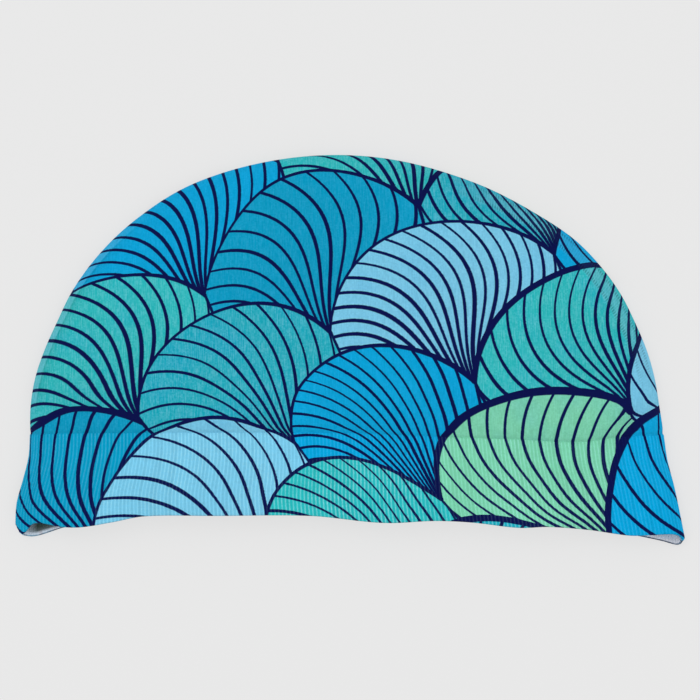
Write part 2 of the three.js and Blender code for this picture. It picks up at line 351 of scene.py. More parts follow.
@dataclass
class CapForm:
    """The form that the cap's cloth follows, in millimetres, in the frame's own place.

    join_take is the cloth that the sunken join takes up, over join_pull to each side. crease_pull
    and crease_slip are how far a crease draws the print towards itself and along. The side folds
    thin out over the rises in thinning, and up to level_climb the wall lies level. The crown's
    cloth is measured on so many spokes, at so many rings.
    """

    hem_width: float = 256.0
    crown_height: float = 106.0
    band_height: float = 31.5
    hem_drop: float = 8.4
    join_dip: float = 3.0
    puff_height: float = 15.0
    crown_wall: float = 1.2
    band_wall: float = 2.2
    fold_room: float = 0.8
    seam_inset: float = 2.6
    seam_width: float = 4.5
    crease_depth: float = 1.1
    panel_gap: float = 0.3
    join_take: float = 1.6
    join_pull: float = 1.3
    crease_pull: float = 4.5
    crease_slip: float = 1.7
    thinning: Span = (0.0, 0.2)
    level_climb: float = 0.25
    edge_samples: int = 400
    join_samples: int = 2001
    seam_samples: int = 721
    spokes: int = 181
    rings: int = 241
    shift_x: float = field(default=0.0, init=False)
    shift_y: float = field(default=0.0, init=False)

    def __post_init__(self) -> None:
        """Places the form where the frame's crown is."""
        low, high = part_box("crown_front")
        climb = np.linspace(0, 1, self.edge_samples)
        left, right = (
            self.outer(Side.FRONT, np.full(self.edge_samples, turn), climb)[:, 0]
            for turn in (-QUARTER_TURN, QUARTER_TURN)
        )
        self.shift_x = (low[0] + high[0]) / 2 / MM - (left.min() + right.max()) / 2
        self.shift_y = high[1] / MM - self.crown_height

    @property
    def half_hem(self) -> float:
        """Half the width across the hem."""
        return self.hem_width / 2

    @property
    def half_join(self) -> float:
        """Half the crown's width at its join with the band."""
        return self.half_hem * next(row.half for row in SECTIONS if row.rise == 0)

    @property
    def fold_radius(self) -> float:
        """The radius of the band's side folds, outside."""
        return self.band_wall + self.fold_room

    def creased(self, x: np.ndarray, y: np.ndarray) -> np.ndarray:
        """How far the front lies below its smooth shape, because of its creases.

        Args:
            x: The places along X, from the form's middle.
            y: The places along Y, from the join.

        Returns:
            The depths in millimetres, below zero on a swelling.
        """
        depth = np.zeros_like(x)
        for crease in CREASES:
            near, _ = self._near_crease(crease, x, y)
            depth += self.crease_depth * crease.depth * near
        return depth

    def crease_drag(self, x: np.ndarray, y: np.ndarray) -> tuple[np.ndarray, np.ndarray]:
        """How far each crease draws the cloth towards itself and slips it along.

        Args:
            x: The places along X, from the form's middle.
            y: The places along Y, from the join.

        Returns:
            The moves in X and in Y.
        """
        drag_x, drag_y = np.zeros_like(x), np.zeros_like(y)
        for crease in CREASES:
            near, across = self._near_crease(crease, x, y)
            turn = math.radians(crease.turn)
            near = abs(crease.depth) * near
            drag, slip = self.crease_pull * near * across, self.crease_slip * near
            drag_x += slip * math.cos(turn) - drag * math.sin(turn)
            drag_y += slip * math.sin(turn) + drag * math.cos(turn)
        return drag_x, drag_y

    def dip(self, piece: bpy.types.Object) -> np.ndarray:
        """How deep in a crease each vertex of a piece lies, as a share, below zero on a swelling."""
        places = Workshop.corners(piece) / MM
        return self.creased(places[:, 0] - self.shift_x, places[:, 1] - self.shift_y) / self.crease_depth

    def _near_crease(self, crease: Crease, x: np.ndarray, y: np.ndarray) -> tuple[np.ndarray, np.ndarray]:
        """How near to a crease places lie.

        Args:
            crease: The crease.
            x: The places along X, from the form's middle.
            y: The places along Y, from the join.

        Returns:
            The nearness, from 0 to 1 at its middle, and how far across it they lie, as a share of
            its breadth.
        """
        turn = math.radians(crease.turn)
        dx = x - crease.along * self.half_hem
        dy = y - crease.rise * self.crown_height
        along = (dx * math.cos(turn) + dy * math.sin(turn)) / (crease.reach * self.crown_height)
        across = (dy * math.cos(turn) - dx * math.sin(turn)) / (crease.breadth * self.crown_height)
        return np.exp(-along * along - across * across), across

    def level(self, side: Side, across: np.ndarray, rise: np.ndarray) -> np.ndarray:
        """The place along the cap of a rise, measured from the straight line of the join.

        Args:
            side: The panel.
            across: From -1 at the left fold to 1 at the right one.
            rise: From -1 at the hem to 0 at the join and 1 at the top.

        Returns:
            The place along Y.
        """
        join = np.zeros_like(across)
        if side is Side.FRONT:
            join = self.join_dip * smooth(*table_columns(JOIN), across)
        places, front, back = table_columns(HEM)
        drop = self.hem_drop * smooth(places, front if side is Side.FRONT else back, across)
        crown = rise * self.crown_height + join * (1 - rise) ** 2
        band = join + rise * (join + self.band_height + drop)
        return np.where(rise >= 0, crown, band)

    def outer(self, side: Side, turn: np.ndarray, climb: np.ndarray) -> np.ndarray:
        """Points of the cap's outer face.

        Args:
            side: The panel.
            turn: Across the cap, in radians, from -pi / 2 at the left fold to pi / 2 at the right.
            climb: From -1 at the hem to 0 at the join and 1 at the top.

        Returns:
            One row of x, y and z for each point.
        """
        rise = np.where(climb > 0, np.sin(QUARTER_TURN * climb), climb)
        narrowing = np.where(climb > 0, np.cos(QUARTER_TURN * climb), 1.0)
        rises, halves, shifts, puffs = table_columns(SECTIONS)
        half = self.half_hem * np.sqrt(np.maximum(smooth(rises, halves**2, rise), 0))
        shift = self.half_hem * smooth(rises, shifts, rise)
        puff = self.puff_height * smooth(rises, puffs, rise)
        across = np.sin(turn)
        x = shift + half * across
        y = self.level(side, across, rise)
        inward = np.maximum(np.cos(turn), 0) * narrowing
        radius = self.fold_radius + step_up(rise, *self.thinning) * (self.crown_wall - self.band_wall)
        steepness = np.sqrt(radius * self.half_hem)
        if side is Side.BACK:
            flat_from = 2 * self.fold_radius / steepness
            lift = 1 - np.minimum(inward / flat_from, 1)
            z = self.fold_radius * lift * lift
        else:
            roundness = np.maximum(steepness / puff, 1)
            swell = puff * (1 - (1 - np.minimum(inward, 1)) ** roundness)
            z = self.fold_radius + swell - self.creased(x, y) * inward
        return np.stack([x + self.shift_x, y + self.shift_y, z], axis=-1)

    def outward(self, side: Side, turn: np.ndarray, climb: np.ndarray) -> np.ndarray:
        """The directions that the outer face looks in, level in the band and near the join.

        Args:
            side: The panel.
            turn: Across the cap, in radians.
            climb: From -1 at the hem to 0 at the join and 1 at the top.

        Returns:
            One row of x, y and z for each place, of length 1.
        """
        step = 1e-3
        at = np.minimum(climb, 1 - 2 * step)
        by = np.where(climb < 1, turn, 0)
        sideways = self.outer(side, by + step, at) - self.outer(side, by - step, at)
        upwards = self.outer(side, by, at + step) - self.outer(side, by, at - step)
        normal = np.cross(sideways, upwards) * side.value
        normal[..., 1] *= np.clip(climb / self.level_climb, 0, 1)
        return normal / np.linalg.norm(normal, axis=-1, keepdims=True)

    def round_join(self, side: Side, turn: np.ndarray | float) -> np.ndarray:
        """How far round the join places lie, from the middle of the front over the right fold.

        Args:
            side: The panel.
            turn: Across the cap, in radians.

        Returns:
            The lengths in millimetres, below zero to the left of the front's middle.
        """
        turns = np.linspace(-QUARTER_TURN, QUARTER_TURN, self.join_samples)
        at_join = np.zeros(self.join_samples)
        front, back = (lengths_along(self.outer(each, turns, at_join)[:, [0, 2]]) for each in Side)
        middle = np.interp(0.0, turns, front)
        if side is Side.FRONT:
            return np.interp(turn, turns, front) - middle
        right = front[-1] - middle
        return right + back[-1] - np.interp(turn, turns, back)

    def print_place(
        self, side: Side, around: np.ndarray, along: np.ndarray, points: np.ndarray
    ) -> tuple[np.ndarray, np.ndarray]:
        """Where the print's drawing lies on the cloth, where the join and the creases take some up.

        Args:
            side: The panel.
            around: The places round the cap.
            along: The places along the cloth, from the join.
            points: The same places on the cap.

        Returns:
            The places in the print, across and along.
        """
        taken = along + self.join_take / 2 * np.tanh(along / self.join_pull)
        if side is Side.BACK:
            return around, taken
        drag_x, drag_y = self.crease_drag(points[:, 0] - self.shift_x, points[:, 1] - self.shift_y)
        return around + drag_x, taken + drag_y

    @staticmethod
    def to_ray(turn: np.ndarray, climb: np.ndarray) -> tuple[np.ndarray, np.ndarray]:
        """Where places of the crown lie on rays from the middle of its join.

        Args:
            turn: Across the cap, in radians.
            climb: From 0 at the join to 1 at the top.

        Returns:
            Each ray's angle, from 0 at the right over a quarter turn at the top, and the place on
            it, from 0 at its start to 1 at the outline.
        """
        rise = np.sin(QUARTER_TURN * np.clip(climb, 0, 1))
        level = np.cos(QUARTER_TURN * np.clip(climb, 0, 1)) * np.sin(turn)
        return np.arctan2(rise, level), np.minimum(np.hypot(rise, level), 1)

    @staticmethod
    def from_ray(angle: np.ndarray, ray: np.ndarray) -> tuple[np.ndarray, np.ndarray]:
        """Where places on rays from the middle of the crown's join lie on the crown.

        Args:
            angle: Each ray's angle, from 0 at the right over a quarter turn at the top.
            ray: The place on it, from 0 at its start to 1 at the outline.

        Returns:
            The turn and the climb.
        """
        rise = ray * np.sin(angle)
        level = ray * np.cos(angle) / np.sqrt(np.maximum(1 - rise * rise, TINY))
        return np.arcsin(np.clip(level, -1, 1)), np.arcsin(rise) / QUARTER_TURN

    def reach(self, angle: np.ndarray) -> np.ndarray:
        """How long the ray at each angle is, from the middle of the join to the outline."""
        return np.hypot(self.half_hem * np.cos(angle), self.crown_height * np.sin(angle))

    def flat_place(self, side: Side, turn: np.ndarray, climb: np.ndarray) -> tuple[np.ndarray, np.ndarray]:
        """Where places of the crown lie in its cloth, before that goes over the rounded rim.

        Rays from the middle of the join are measured over the crown. What they are longer than
        they look from above is given to the cloth outwards.

        Args:
            side: The panel.
            turn: Across the cap, in radians.
            climb: From 0 at the join to 1 at the top, and below 0 in what the band's lip covers.

        Returns:
            The places across, from the middle of the join, and along, from the join.
        """
        angles = np.linspace(0, math.pi, self.spokes)[:, None]
        rays = np.sin(QUARTER_TURN * np.linspace(0, 1, self.rings))[None, :]
        steps = np.diff(self.outer(side, *self.from_ray(angles, rays)), axis=1)
        spared = np.linalg.norm(steps, axis=2) - np.linalg.norm(steps[..., :2], axis=2)
        spared = np.pad(np.cumsum(spared, axis=1), ((0, 0), (1, 0)))
        angle, ray = self.to_ray(turn, climb)
        spoke = angle / math.pi * (self.spokes - 1)
        ring = np.arcsin(ray) / QUARTER_TURN * (self.rings - 1)
        more = between_rows(spared, spoke, ring)
        level = np.maximum(climb, 0)
        across = self.outer(side, turn, level)[:, 0] - self.outer(side, np.zeros(1), np.zeros(1))[0, 0]
        along = np.sin(QUARTER_TURN * level) * self.crown_height
        stretch = 1 + more / np.maximum(np.hypot(across, along), 1)
        return across * stretch, along * stretch + np.minimum(climb, 0) * self.band_height

    def seam_place(self, turn: np.ndarray, climb: np.ndarray) -> tuple[np.ndarray, np.ndarray, np.ndarray]:
        """Where places of the crown lie along and from the seam of its outline.

        Args:
            turn: Across the cap, in radians.
            climb: From 0 at the join to 1 at the top.

        Returns:
            The distance in from the outline, the length along it from the right end of the join,
            and the angle there, from 0 at the right over a quarter turn at the top.
        """
        angle, ray = self.to_ray(turn, climb)
        angles = np.linspace(0, math.pi, self.seam_samples)
        pace = np.hypot(self.half_hem * np.sin(angles), self.crown_height * np.cos(angles))
        lengths = np.concatenate([[0], np.cumsum((pace[1:] + pace[:-1]) / 2 * np.diff(angles))])
        return (1 - ray) * self.reach(angle), np.interp(angle, angles, lengths), angle


class Workshop:
    """Blender's operators, as a modeller uses them on one mesh after another."""

    @staticmethod
    def clear_selection() -> None:
        """Leaves object mode with nothing selected."""
        if bpy.context.object and bpy.context.object.mode != "OBJECT":
            bpy.ops.object.mode_set(mode="OBJECT")
        bpy.ops.object.select_all(action="DESELECT")

    @staticmethod
    def pick(piece: bpy.types.Object) -> None:
        """Makes one object the active one and the only one selected.

        Args:
            piece: The object.
        """
        Workshop.clear_selection()
        piece.select_set(True)
        bpy.context.view_layer.objects.active = piece

    @staticmethod
    @contextmanager
    def editing(piece: bpy.types.Object) -> Iterator[None]:
        """Opens a mesh in edit mode with all of it selected, and leaves that mode afterwards.

        Args:
            piece: The mesh.

        Yields:
            Nothing, while the mesh is open.
        """
        Workshop.pick(piece)
        bpy.ops.object.mode_set(mode="EDIT")
        bpy.ops.mesh.select_all(action="SELECT")
        yield
        bpy.ops.object.mode_set(mode="OBJECT")

    @staticmethod
    def grid(name: str, across: int, along: int) -> bpy.types.Object:
        """Adds a grid that reaches from 0 to 1 along X and Y.

        Args:
            name: The piece's name.
            across: How many faces it has along X.
            along: How many faces it has along Y.

        Returns:
            The new object, selected alone.
        """
        Workshop.clear_selection()
        bpy.ops.mesh.primitive_grid_add(x_subdivisions=across, y_subdivisions=along, size=1, calc_uvs=False)
        piece = bpy.context.active_object
        piece.name = piece.data.name = name
        with Workshop.editing(piece):
            bpy.ops.transform.translate(value=(0.5, 0.5, 0))
        return piece

    @staticmethod
    def corners(piece: bpy.types.Object) -> np.ndarray:
        """Reads where a mesh's vertices are.

        Args:
            piece: The mesh.

        Returns:
            One row of x, y and z in metres for each vertex.
        """
        places = np.empty(len(piece.data.vertices) * 3, np.float32)
        piece.data.vertices.foreach_get("co", places)
        return places.reshape(-1, 3).astype(np.float64)

    @staticmethod
    def move_corners(piece: bpy.types.Object, places: np.ndarray) -> None:
        """Moves a mesh's vertices, in order, to places in metres."""
        piece.data.vertices.foreach_set("co", places.astype(np.float32).ravel())
        piece.data.update()

    @staticmethod
    def unwrap(piece: bpy.types.Object, name: str, across: np.ndarray, along: np.ndarray) -> None:
        """Adds a map that gives each corner of each face its place in the flat cloth.

        Args:
            piece: The mesh.
            name: The map's name.
            across: The place across the cloth at each vertex.
            along: The place along the cloth's wales at each vertex.
        """
        mesh = piece.data
        layer = mesh.uv_layers.new(name=name)
        vertex = np.empty(len(mesh.loops), np.int32)
        mesh.loops.foreach_get("vertex_index", vertex)
        places = np.stack([across[vertex], along[vertex]], axis=1)
        layer.uv.foreach_set("vector", places.astype(np.float32).ravel())

    @staticmethod
    def note(piece: bpy.types.Object, name: str, values: np.ndarray) -> None:
        """Writes one number at each vertex, for the finish to read."""
        attribute = piece.data.attributes.new(name=name, type="FLOAT", domain="POINT")
        attribute.data.foreach_set("value", values.astype(np.float32))

    @staticmethod
    def merge(piece: bpy.types.Object) -> None:
        """Merges the vertices that lie on each other, all over a mesh.

        Args:
            piece: The mesh.
        """
        with Workshop.editing(piece):
            bpy.ops.mesh.remove_doubles(threshold=WELD)
            bpy.ops.mesh.dissolve_degenerate(threshold=SPECK)

    @staticmethod
    def face(piece: bpy.types.Object, outward: tuple[float, float, float]) -> None:
        """Turns an open sheet's faces round if most of them look away from a direction.

        Args:
            piece: The sheet.
            outward: The direction.
        """
        normals = np.empty(len(piece.data.polygons) * 3, np.float32)
        piece.data.polygons.foreach_get("normal", normals)
        if (normals.reshape(-1, 3) @ np.array(outward)).sum() <= 0:
            with Workshop.editing(piece):
                bpy.ops.mesh.flip_normals()

    @staticmethod
    def close(piece: bpy.types.Object) -> None:
        """Turns a closed mesh's faces outwards."""
        with Workshop.editing(piece):
            bpy.ops.mesh.normals_make_consistent(inside=False)

    @staticmethod
    def modify(piece: bpy.types.Object, kind: str, **settings: object) -> None:
        """Adds a modifier with some settings and applies it.

        Args:
            piece: The mesh.
            kind: The modifier's type.
            **settings: What to set on it.
        """
        Workshop.pick(piece)
        modifier = piece.modifiers.new(kind.title(), kind)
        for name, value in settings.items():
            setattr(modifier, name, value)
        bpy.ops.object.modifier_apply(modifier=modifier.name)

    @staticmethod
    def thicken(piece: bpy.types.Object, wall: float, rim: float, rounds: int, inside: int = 0) -> None:
        """Gives an open sheet its wall, inwards, and rounds the wall's edges.

        Args:
            piece: The sheet.
            wall: The wall in millimetres.
            rim: How far in its edges are rounded, in millimetres.
            rounds: How many faces round an edge.
            inside: How many places after the outside's material the inside's one stands.
        """
        Workshop.modify(
            piece, "SOLIDIFY", thickness=wall * MM, offset=-1, use_rim=True, material_offset=inside
        )
        Workshop.modify(
            piece, "BEVEL", width=rim * MM, segments=rounds, limit_method="ANGLE", angle_limit=SHARP
        )

    @staticmethod
    def dress(piece: bpy.types.Object, *materials: bpy.types.Material) -> None:
        """Gives a piece its materials, which a modifier that uses the second one needs beforehand."""
        for material in materials:
            piece.data.materials.append(material)

    @staticmethod
    def finish(piece: bpy.types.Object, slot: Slot, *nodes: str) -> None:
        """Shades a piece smooth, hides the frame's nodes that it replaces and fixes it to the frame.

        Args:
            piece: The piece.
            slot: Not used.
            *nodes: The frame's nodes that it replaces.
        """
        Workshop.pick(piece)
        bpy.ops.object.shade_smooth()
        if nodes:
            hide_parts(*nodes)
        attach(piece, BODY)
        log.info("%s: %d faces", piece.name, len(piece.data.polygons))


class Field:
    """A value in a shader tree, with the arithmetic that a pattern's formula needs."""

    def __init__(self, palette: Palette, socket: bpy.types.NodeSocket) -> None:
        """Wraps the output that carries the value."""
        self.palette = palette
        self.socket = socket

    def _math(self, operation: str, *values: Field | float) -> Field:
        """Adds one Math node, with its inputs in order."""
        return self.palette.made("ShaderNodeMath", dict(enumerate(values)), operation=operation)

    def __add__(self, other: Field | float) -> Field:
        """The sum."""
        return self._math("ADD", self, other)

    def __radd__(self, other: float) -> Field:
        """The sum."""
        return self._math("ADD", other, self)

    def __sub__(self, other: Field | float) -> Field:
        """The difference."""
        return self._math("SUBTRACT", self, other)

    def __rsub__(self, other: float) -> Field:
        """The difference from a number."""
        return self._math("SUBTRACT", other, self)

    def __mul__(self, other: Field | float) -> Field:
        """The product."""
        return self._math("MULTIPLY", self, other)

    def __rmul__(self, other: float) -> Field:
        """The product."""
        return self._math("MULTIPLY", other, self)

    def __truediv__(self, other: Field | float) -> Field:
        """The quotient."""
        return self._math("DIVIDE", self, other)

    def __lt__(self, other: Field | float) -> Field:
        """1 where it is the smaller one, and 0 elsewhere."""
        return self._math("LESS_THAN", self, other)

    def __gt__(self, other: Field | float) -> Field:
        """1 where it is the greater one, and 0 elsewhere."""
        return self._math("GREATER_THAN", self, other)

    def __abs__(self) -> Field:
        """Its size without its sign."""
        return self._math("ABSOLUTE", self)

    def floor(self) -> Field:
        """The whole number below."""
        return self._math("FLOOR", self)

    def fraction(self) -> Field:
        """What is left over the whole number below."""
        return self._math("FRACT", self)

    def sine(self) -> Field:
        """Its sine, of radians."""
        return self._math("SINE", self)

    def root(self) -> Field:
        """Its square root."""
        return self._math("SQRT", self)

    def power(self, exponent: float) -> Field:
        """Itself to a power."""
        return self._math("POWER", self, exponent)

    def most(self, other: Field | float) -> Field:
        """The greater of the two."""
        return self._math("MAXIMUM", self, other)

    def bearing(self, ahead: Field) -> Field:
        """The angle from straight ahead of a place that lies this far to the side."""
        return self._math("ARCTAN2", self, ahead)

    def between(self, low: float, high: float) -> Field:
        """Goes smoothly from 0 where it is low to 1 where it is high, also with low above high.

        Args:
            low: Where the result is 0.
            high: Where it is 1.

        Returns:
            The result.
        """
        inputs = {
            "Value": self,
            "From Min": min(low, high),
            "From Max": max(low, high),
            "To Min": float(low > high),
            "To Max": float(low < high),
        }
        return self.palette.made("ShaderNodeMapRange", inputs, "Result", interpolation_type="SMOOTHSTEP")

    def within(self, stretch: Stretch) -> Field:
        """How far inside a stretch it lies, from 0 to 1."""
        return self.between(*stretch.start) * self.between(*reversed(stretch.end))

    def at_least(self, least: float) -> Field:
        """Moves it from the range of 0 to 1 into that of the least to 1."""
        return least + (1.0 - least) * self


class Palette:
    """Adds nodes to one shader tree, so that a finish reads as a list of what the cloth shows."""

    def __init__(self, tree: bpy.types.NodeTree) -> None:
        """Takes the tree that the nodes go into."""
        self.tree = tree

    def fill(self, node: bpy.types.Node, inputs: Inputs) -> None:
        """Gives a node its inputs.

        Args:
            node: The node.
            inputs: What its sockets take. A Field is linked, and what is the same all over is set.
        """
        for name, value in inputs.items():
            if isinstance(value, Field):
                self.tree.links.new(value.socket, node.inputs[name])
            else:
                node.inputs[name].default_value = value

    def made(self, kind: str, inputs: Inputs, output: str | int = 0, **settings: object) -> Field:
        """Adds a node.

        Args:
            kind: Blender's name of its kind.
            inputs: What its sockets take.
            output: The name or place of the socket that is read.
            **settings: What else to set on it.

        Returns:
            What the node gives.
        """
        node = self.tree.nodes.new(kind)
        for name, value in settings.items():
            setattr(node, name, value)
        self.fill(node, inputs)
        return Field(self, node.outputs[output])

    def mapped(self, name: str) -> tuple[Field, Field]:
        """Reads the places across and along in one of the piece's maps."""
        place = self.made("ShaderNodeUVMap", {}, uv_map=name)
        return tuple(self.made("ShaderNodeSeparateXYZ", {0: place}, axis) for axis in ("X", "Y"))

    def noted(self, name: str) -> Field:
        """Reads a number that was noted at the piece's vertices."""
        return self.made("ShaderNodeAttribute", {}, "Fac", attribute_type="GEOMETRY", attribute_name=name)

    def at(self, x: Field | float, y: Field | float, z: float = 0.0) -> Field:
        """Makes one place of three numbers."""
        return self.made("ShaderNodeCombineXYZ", {"X": x, "Y": y, "Z": z})

    def chance(self, x: Field, y: Field | float, seed: Draw) -> Field:
        """Draws a number from 0 to 1 once for each pair of whole numbers, for one use."""
        return self.made("ShaderNodeTexWhiteNoise", {"Vector": self.at(x, y, seed.value)}, "Value")

    def clouds(self, place: Field, scale: float, detail: float = 2.0) -> Field:
        """Soft noise from 0 to 1, of so many clouds to one unit of place, with finer layers."""
        return self.made("ShaderNodeTexNoise", {"Vector": place, "Scale": scale, "Detail": detail}, "Fac")

    def mix(self, share: Field | float, first: Field | Colour, second: Field | Colour) -> Field:
        """Goes from the first colour to the second one as share goes from 0 to 1."""
        inputs = {"Factor": share, FIRST_COLOUR: first, SECOND_COLOUR: second}
        return self.made("ShaderNodeMix", inputs, MIXED_COLOUR, data_type="RGBA", clamp_factor=True)

    def brighten(self, colour: Field, by: Field) -> Field:
        """Multiplies a colour by a number."""
        return self.made("ShaderNodeVectorMath", {0: colour, "Scale": by}, operation="SCALE")

    def bump(self, height: Field, distance: float) -> Field:
        """Tilts the light by a relief from 0 to 1, which is so many metres deep."""
        return self.made("ShaderNodeBump", {"Distance": distance, "Height": height})

    def chosen(self, value: Field, colours: list[tuple[Colour, float]]) -> Field:
        """Picks a colour by a number from 0 to 1.

        Args:
            value: The number.
            colours: Each colour with its share of the range, in order.

        Returns:
            The colour.
        """
        picked = self.made("ShaderNodeValToRGB", {"Fac": value}, "Color")
        ramp = picked.socket.node.color_ramp
        ramp.interpolation = "CONSTANT"
        while len(ramp.elements) > 1:
            ramp.elements.remove(ramp.elements[-1])
        start = 0.0
        for i, (colour, share) in enumerate(colours):
            element = ramp.elements[0] if i == 0 else ramp.elements.new(start)
            element.position = start
            element.color = colour
            start += share
        return picked


def new_material(name: str) -> tuple[bpy.types.Material, Palette, bpy.types.Node]:
    """Makes a material whose Principled shader waits for its finish.

    Args:
        name: The material's name.

    Returns:
        The material, its palette and its shader.
    """
    material = bpy.data.materials.new(name)
    material.use_nodes = True
    shader = material.node_tree.nodes["Principled BSDF"]
    return material, Palette(material.node_tree), shader


@dataclass(frozen=True)
class FanColour:
    """A colour of the print, its share of the fans, and how much white yarn shows through it."""

    colour: Colour
    share: float
    pale: float


@dataclass(frozen=True)
class Wave:
    """One of the waves that bend the fans' rows.

    height is in millimetres. across and along are the lengths of one radian of it in each
    direction of the cloth, or nothing where it doesn't change that way. start is in radians.
    """

    height: float
    across: float | None
    along: float | None
    start: float = 0.0

    def at(self, across: Field, along: Field) -> Field:
        """How far the wave moves a place of the cloth.

        Args:
            across: The place across the cloth.
            along: The place along it.

        Returns:
            The move in millimetres.
        """
        ways = ((across, self.across), (along, self.along))
        turn = sum(place / radian for place, radian in ways if radian)
        return self.height * (turn + self.start).sine()


@dataclass(frozen=True)
class FanPlace:
    """Where each place lies in the fan in front: aside and ahead of its middle, and which fan it is."""

    aside: Field
    ahead: Field
    column: Field
    row: Field

    def out(self) -> Field:
        """How far the place is from the fan's middle."""
        return (self.aside * self.aside + self.ahead * self.ahead).root()

    def drawn(self, steps: Span, seed: float) -> Field:
        """A number from 0 to 1 for each fan, which goes by steps from column to column and row to row."""
        return (self.column * steps[0] + self.row * steps[1] + seed).fraction()


@dataclass(frozen=True)
class FanPrint:
    """The print: rows of fans that overlap like scales, each drawn in lines from its foot.

    Lengths are in millimetres and angles in degrees. The rows are turned and gently bent, so that
    the lines sweep over the cap. What ends in steps sets how a number drawn for each fan changes
    from column to column and from row to row, and line_draw tells the rows' lines apart. The rim
    changes its width rim_sway times faster than its bearing, and is side_rim times thinner where a
    fan meets the next one of its row. Towards the rim the colours brighten by rim_tone.
    """

    fan_width: float = 86.0
    row_pitch: float = 34.0
    fan_radius: float = 50.0
    rows_over: int = 3
    tilt: float = -28.0
    start: Span = (-20.0, 26.0)
    bends_along_rows: tuple[Wave, ...] = (Wave(7.0, None, 31.0, 0.6), Wave(3.0, 23.0, 40.0))
    bends_over_rows: tuple[Wave, ...] = (Wave(8.0, 47.0, None, -0.4), Wave(2.5, 29.0, 19.0))
    foot: float = 18.0
    line_pitch: float = 7.3
    pitch_change: float = 0.45
    line_half: float = 0.66
    line_change: float = 0.3
    line_draw: float = 7.0
    curl: float = 16.0
    curl_length: float = 66.0
    rim: float = 1.9
    rim_change: float = 0.8
    rim_sway: float = 1.3
    side_rim: float = 3.0
    soft: float = 0.16
    foot_tone: float = 0.95
    rim_tone: float = 0.07
    colour_steps: Span = (0.755, 0.83)
    hand_steps: Span = (0.7549, 0.5698)
    pitch_steps: Span = (0.3247, 0.8191)
    seed: float = 0.08
    ink: Colour = srgb(6, 16, 78)
    colours: tuple[FanColour, ...] = (
        FanColour(srgb(0, 170, 227), 0.21, 0.1),
        FanColour(srgb(124, 207, 241), 0.17, 0.8),
        FanColour(srgb(24, 177, 197), 0.20, 1.0),
        FanColour(srgb(126, 217, 178), 0.09, 0.8),
        FanColour(srgb(0, 161, 204), 0.12, 0.2),
        FanColour(srgb(40, 193, 197), 0.21, 1.0),
    )

    def group(self) -> bpy.types.NodeTree:
        """Makes the node group that draws the print.

        Returns:
            The group. It takes the place in the cloth, and gives the colour, the ink's share and
            how much white yarn shows.
        """
        tree = bpy.data.node_groups.new("fan_print", "ShaderNodeTree")
        takes, gives = ("Across", "Along"), ("Colour", "Ink", "Pale")
        for name in takes:
            tree.interface.new_socket(name, in_out="INPUT", socket_type="NodeSocketFloat")
        for name in gives:
            kind = "NodeSocketColor" if name == "Colour" else "NodeSocketFloat"
            tree.interface.new_socket(name, in_out="OUTPUT", socket_type=kind)
        palette = Palette(tree)
        entry, leave = tree.nodes.new("NodeGroupInput"), tree.nodes.new("NodeGroupOutput")
        across, along = (Field(palette, entry.outputs[name]) for name in takes)
        place = self._front_fan(*self._bent(across, along))
        ink = self._lines(palette, place).most(self._rim(place))
        choice = place.drawn(self.colour_steps, self.seed)
        colour = palette.chosen(choice, [(fan.colour, fan.share) for fan in self.colours])
        pales = [((fan.pale, fan.pale, fan.pale, 1.0), fan.share) for fan in self.colours]
        tone = self.foot_tone + self.rim_tone * (place.out() / self.fan_radius)
        drawn = palette.mix(ink, palette.brighten(colour, tone), self.ink)
        palette.fill(leave, dict(zip(gives, (drawn, ink, palette.chosen(choice, pales)))))
        return tree

    def _hand(self, place: FanPlace) -> Field:
        """Which way a fan's lines curl, 1 or -1."""
        return (place.drawn(self.hand_steps, self.seed) > 0.5) * 2.0 - 1.0

    def _lines(self, palette: Palette, place: FanPlace) -> Field:
        """Draws a fan's curled lines, which run together at its foot.

        Args:
            palette: The tree that they are drawn in.
            place: The place in the fan.

        Returns:
            The ink's share.
        """
        up = place.ahead + self.foot
        far = (place.aside * place.aside + up * up).root()
        curl = self._hand(place) * math.radians(self.curl) * (far * (math.pi / self.curl_length)).sine()
        spread = place.drawn(self.pitch_steps, self.seed) - 0.5
        pitch = (1.0 + spread * self.pitch_change) * math.radians(self.line_pitch)
        count = (place.aside.bearing(up) + curl) / pitch
        from_line = (0.5 - abs(count.fraction() - 0.5)) * far * pitch
        fan = place.column + place.row * self.line_draw
        luck = palette.chance((count + 0.5).floor(), fan, Draw.FAN_LINE)
        half = self.line_half + (luck - 0.5) * self.line_change
        return (from_line - half).between(self.soft, -self.soft)

    def _rim(self, place: FanPlace) -> Field:
        """Draws a fan's rim, heavier and lighter along its way.

        Args:
            place: The place in the fan.

        Returns:
            The ink's share.
        """
        bearing = place.aside.bearing(place.ahead + self.foot)
        width = (bearing * self.rim_sway + self._hand(place)).sine() * self.rim_change + self.rim
        inside = self.fan_radius - place.out() - width
        beside = self.fan_width / 2 - abs(place.aside) - self.rim / self.side_rim
        return inside.between(self.soft, -self.soft).most(beside.between(self.soft, -self.soft))

    def _bent(self, across: Field, along: Field) -> tuple[Field, Field]:
        """Bends and turns the cloth's places into those of the fans' straight rows.

        Args:
            across: The place across the cloth.
            along: The place along it.

        Returns:
            The place along the rows and over them.
        """
        x = sum((wave.at(across, along) for wave in self.bends_along_rows), across)
        y = sum((wave.at(across, along) for wave in self.bends_over_rows), along)
        cosine, sine = math.cos(math.radians(self.tilt)), math.sin(math.radians(self.tilt))
        return x * cosine - y * sine + self.start[0], x * sine + y * cosine + self.start[1]

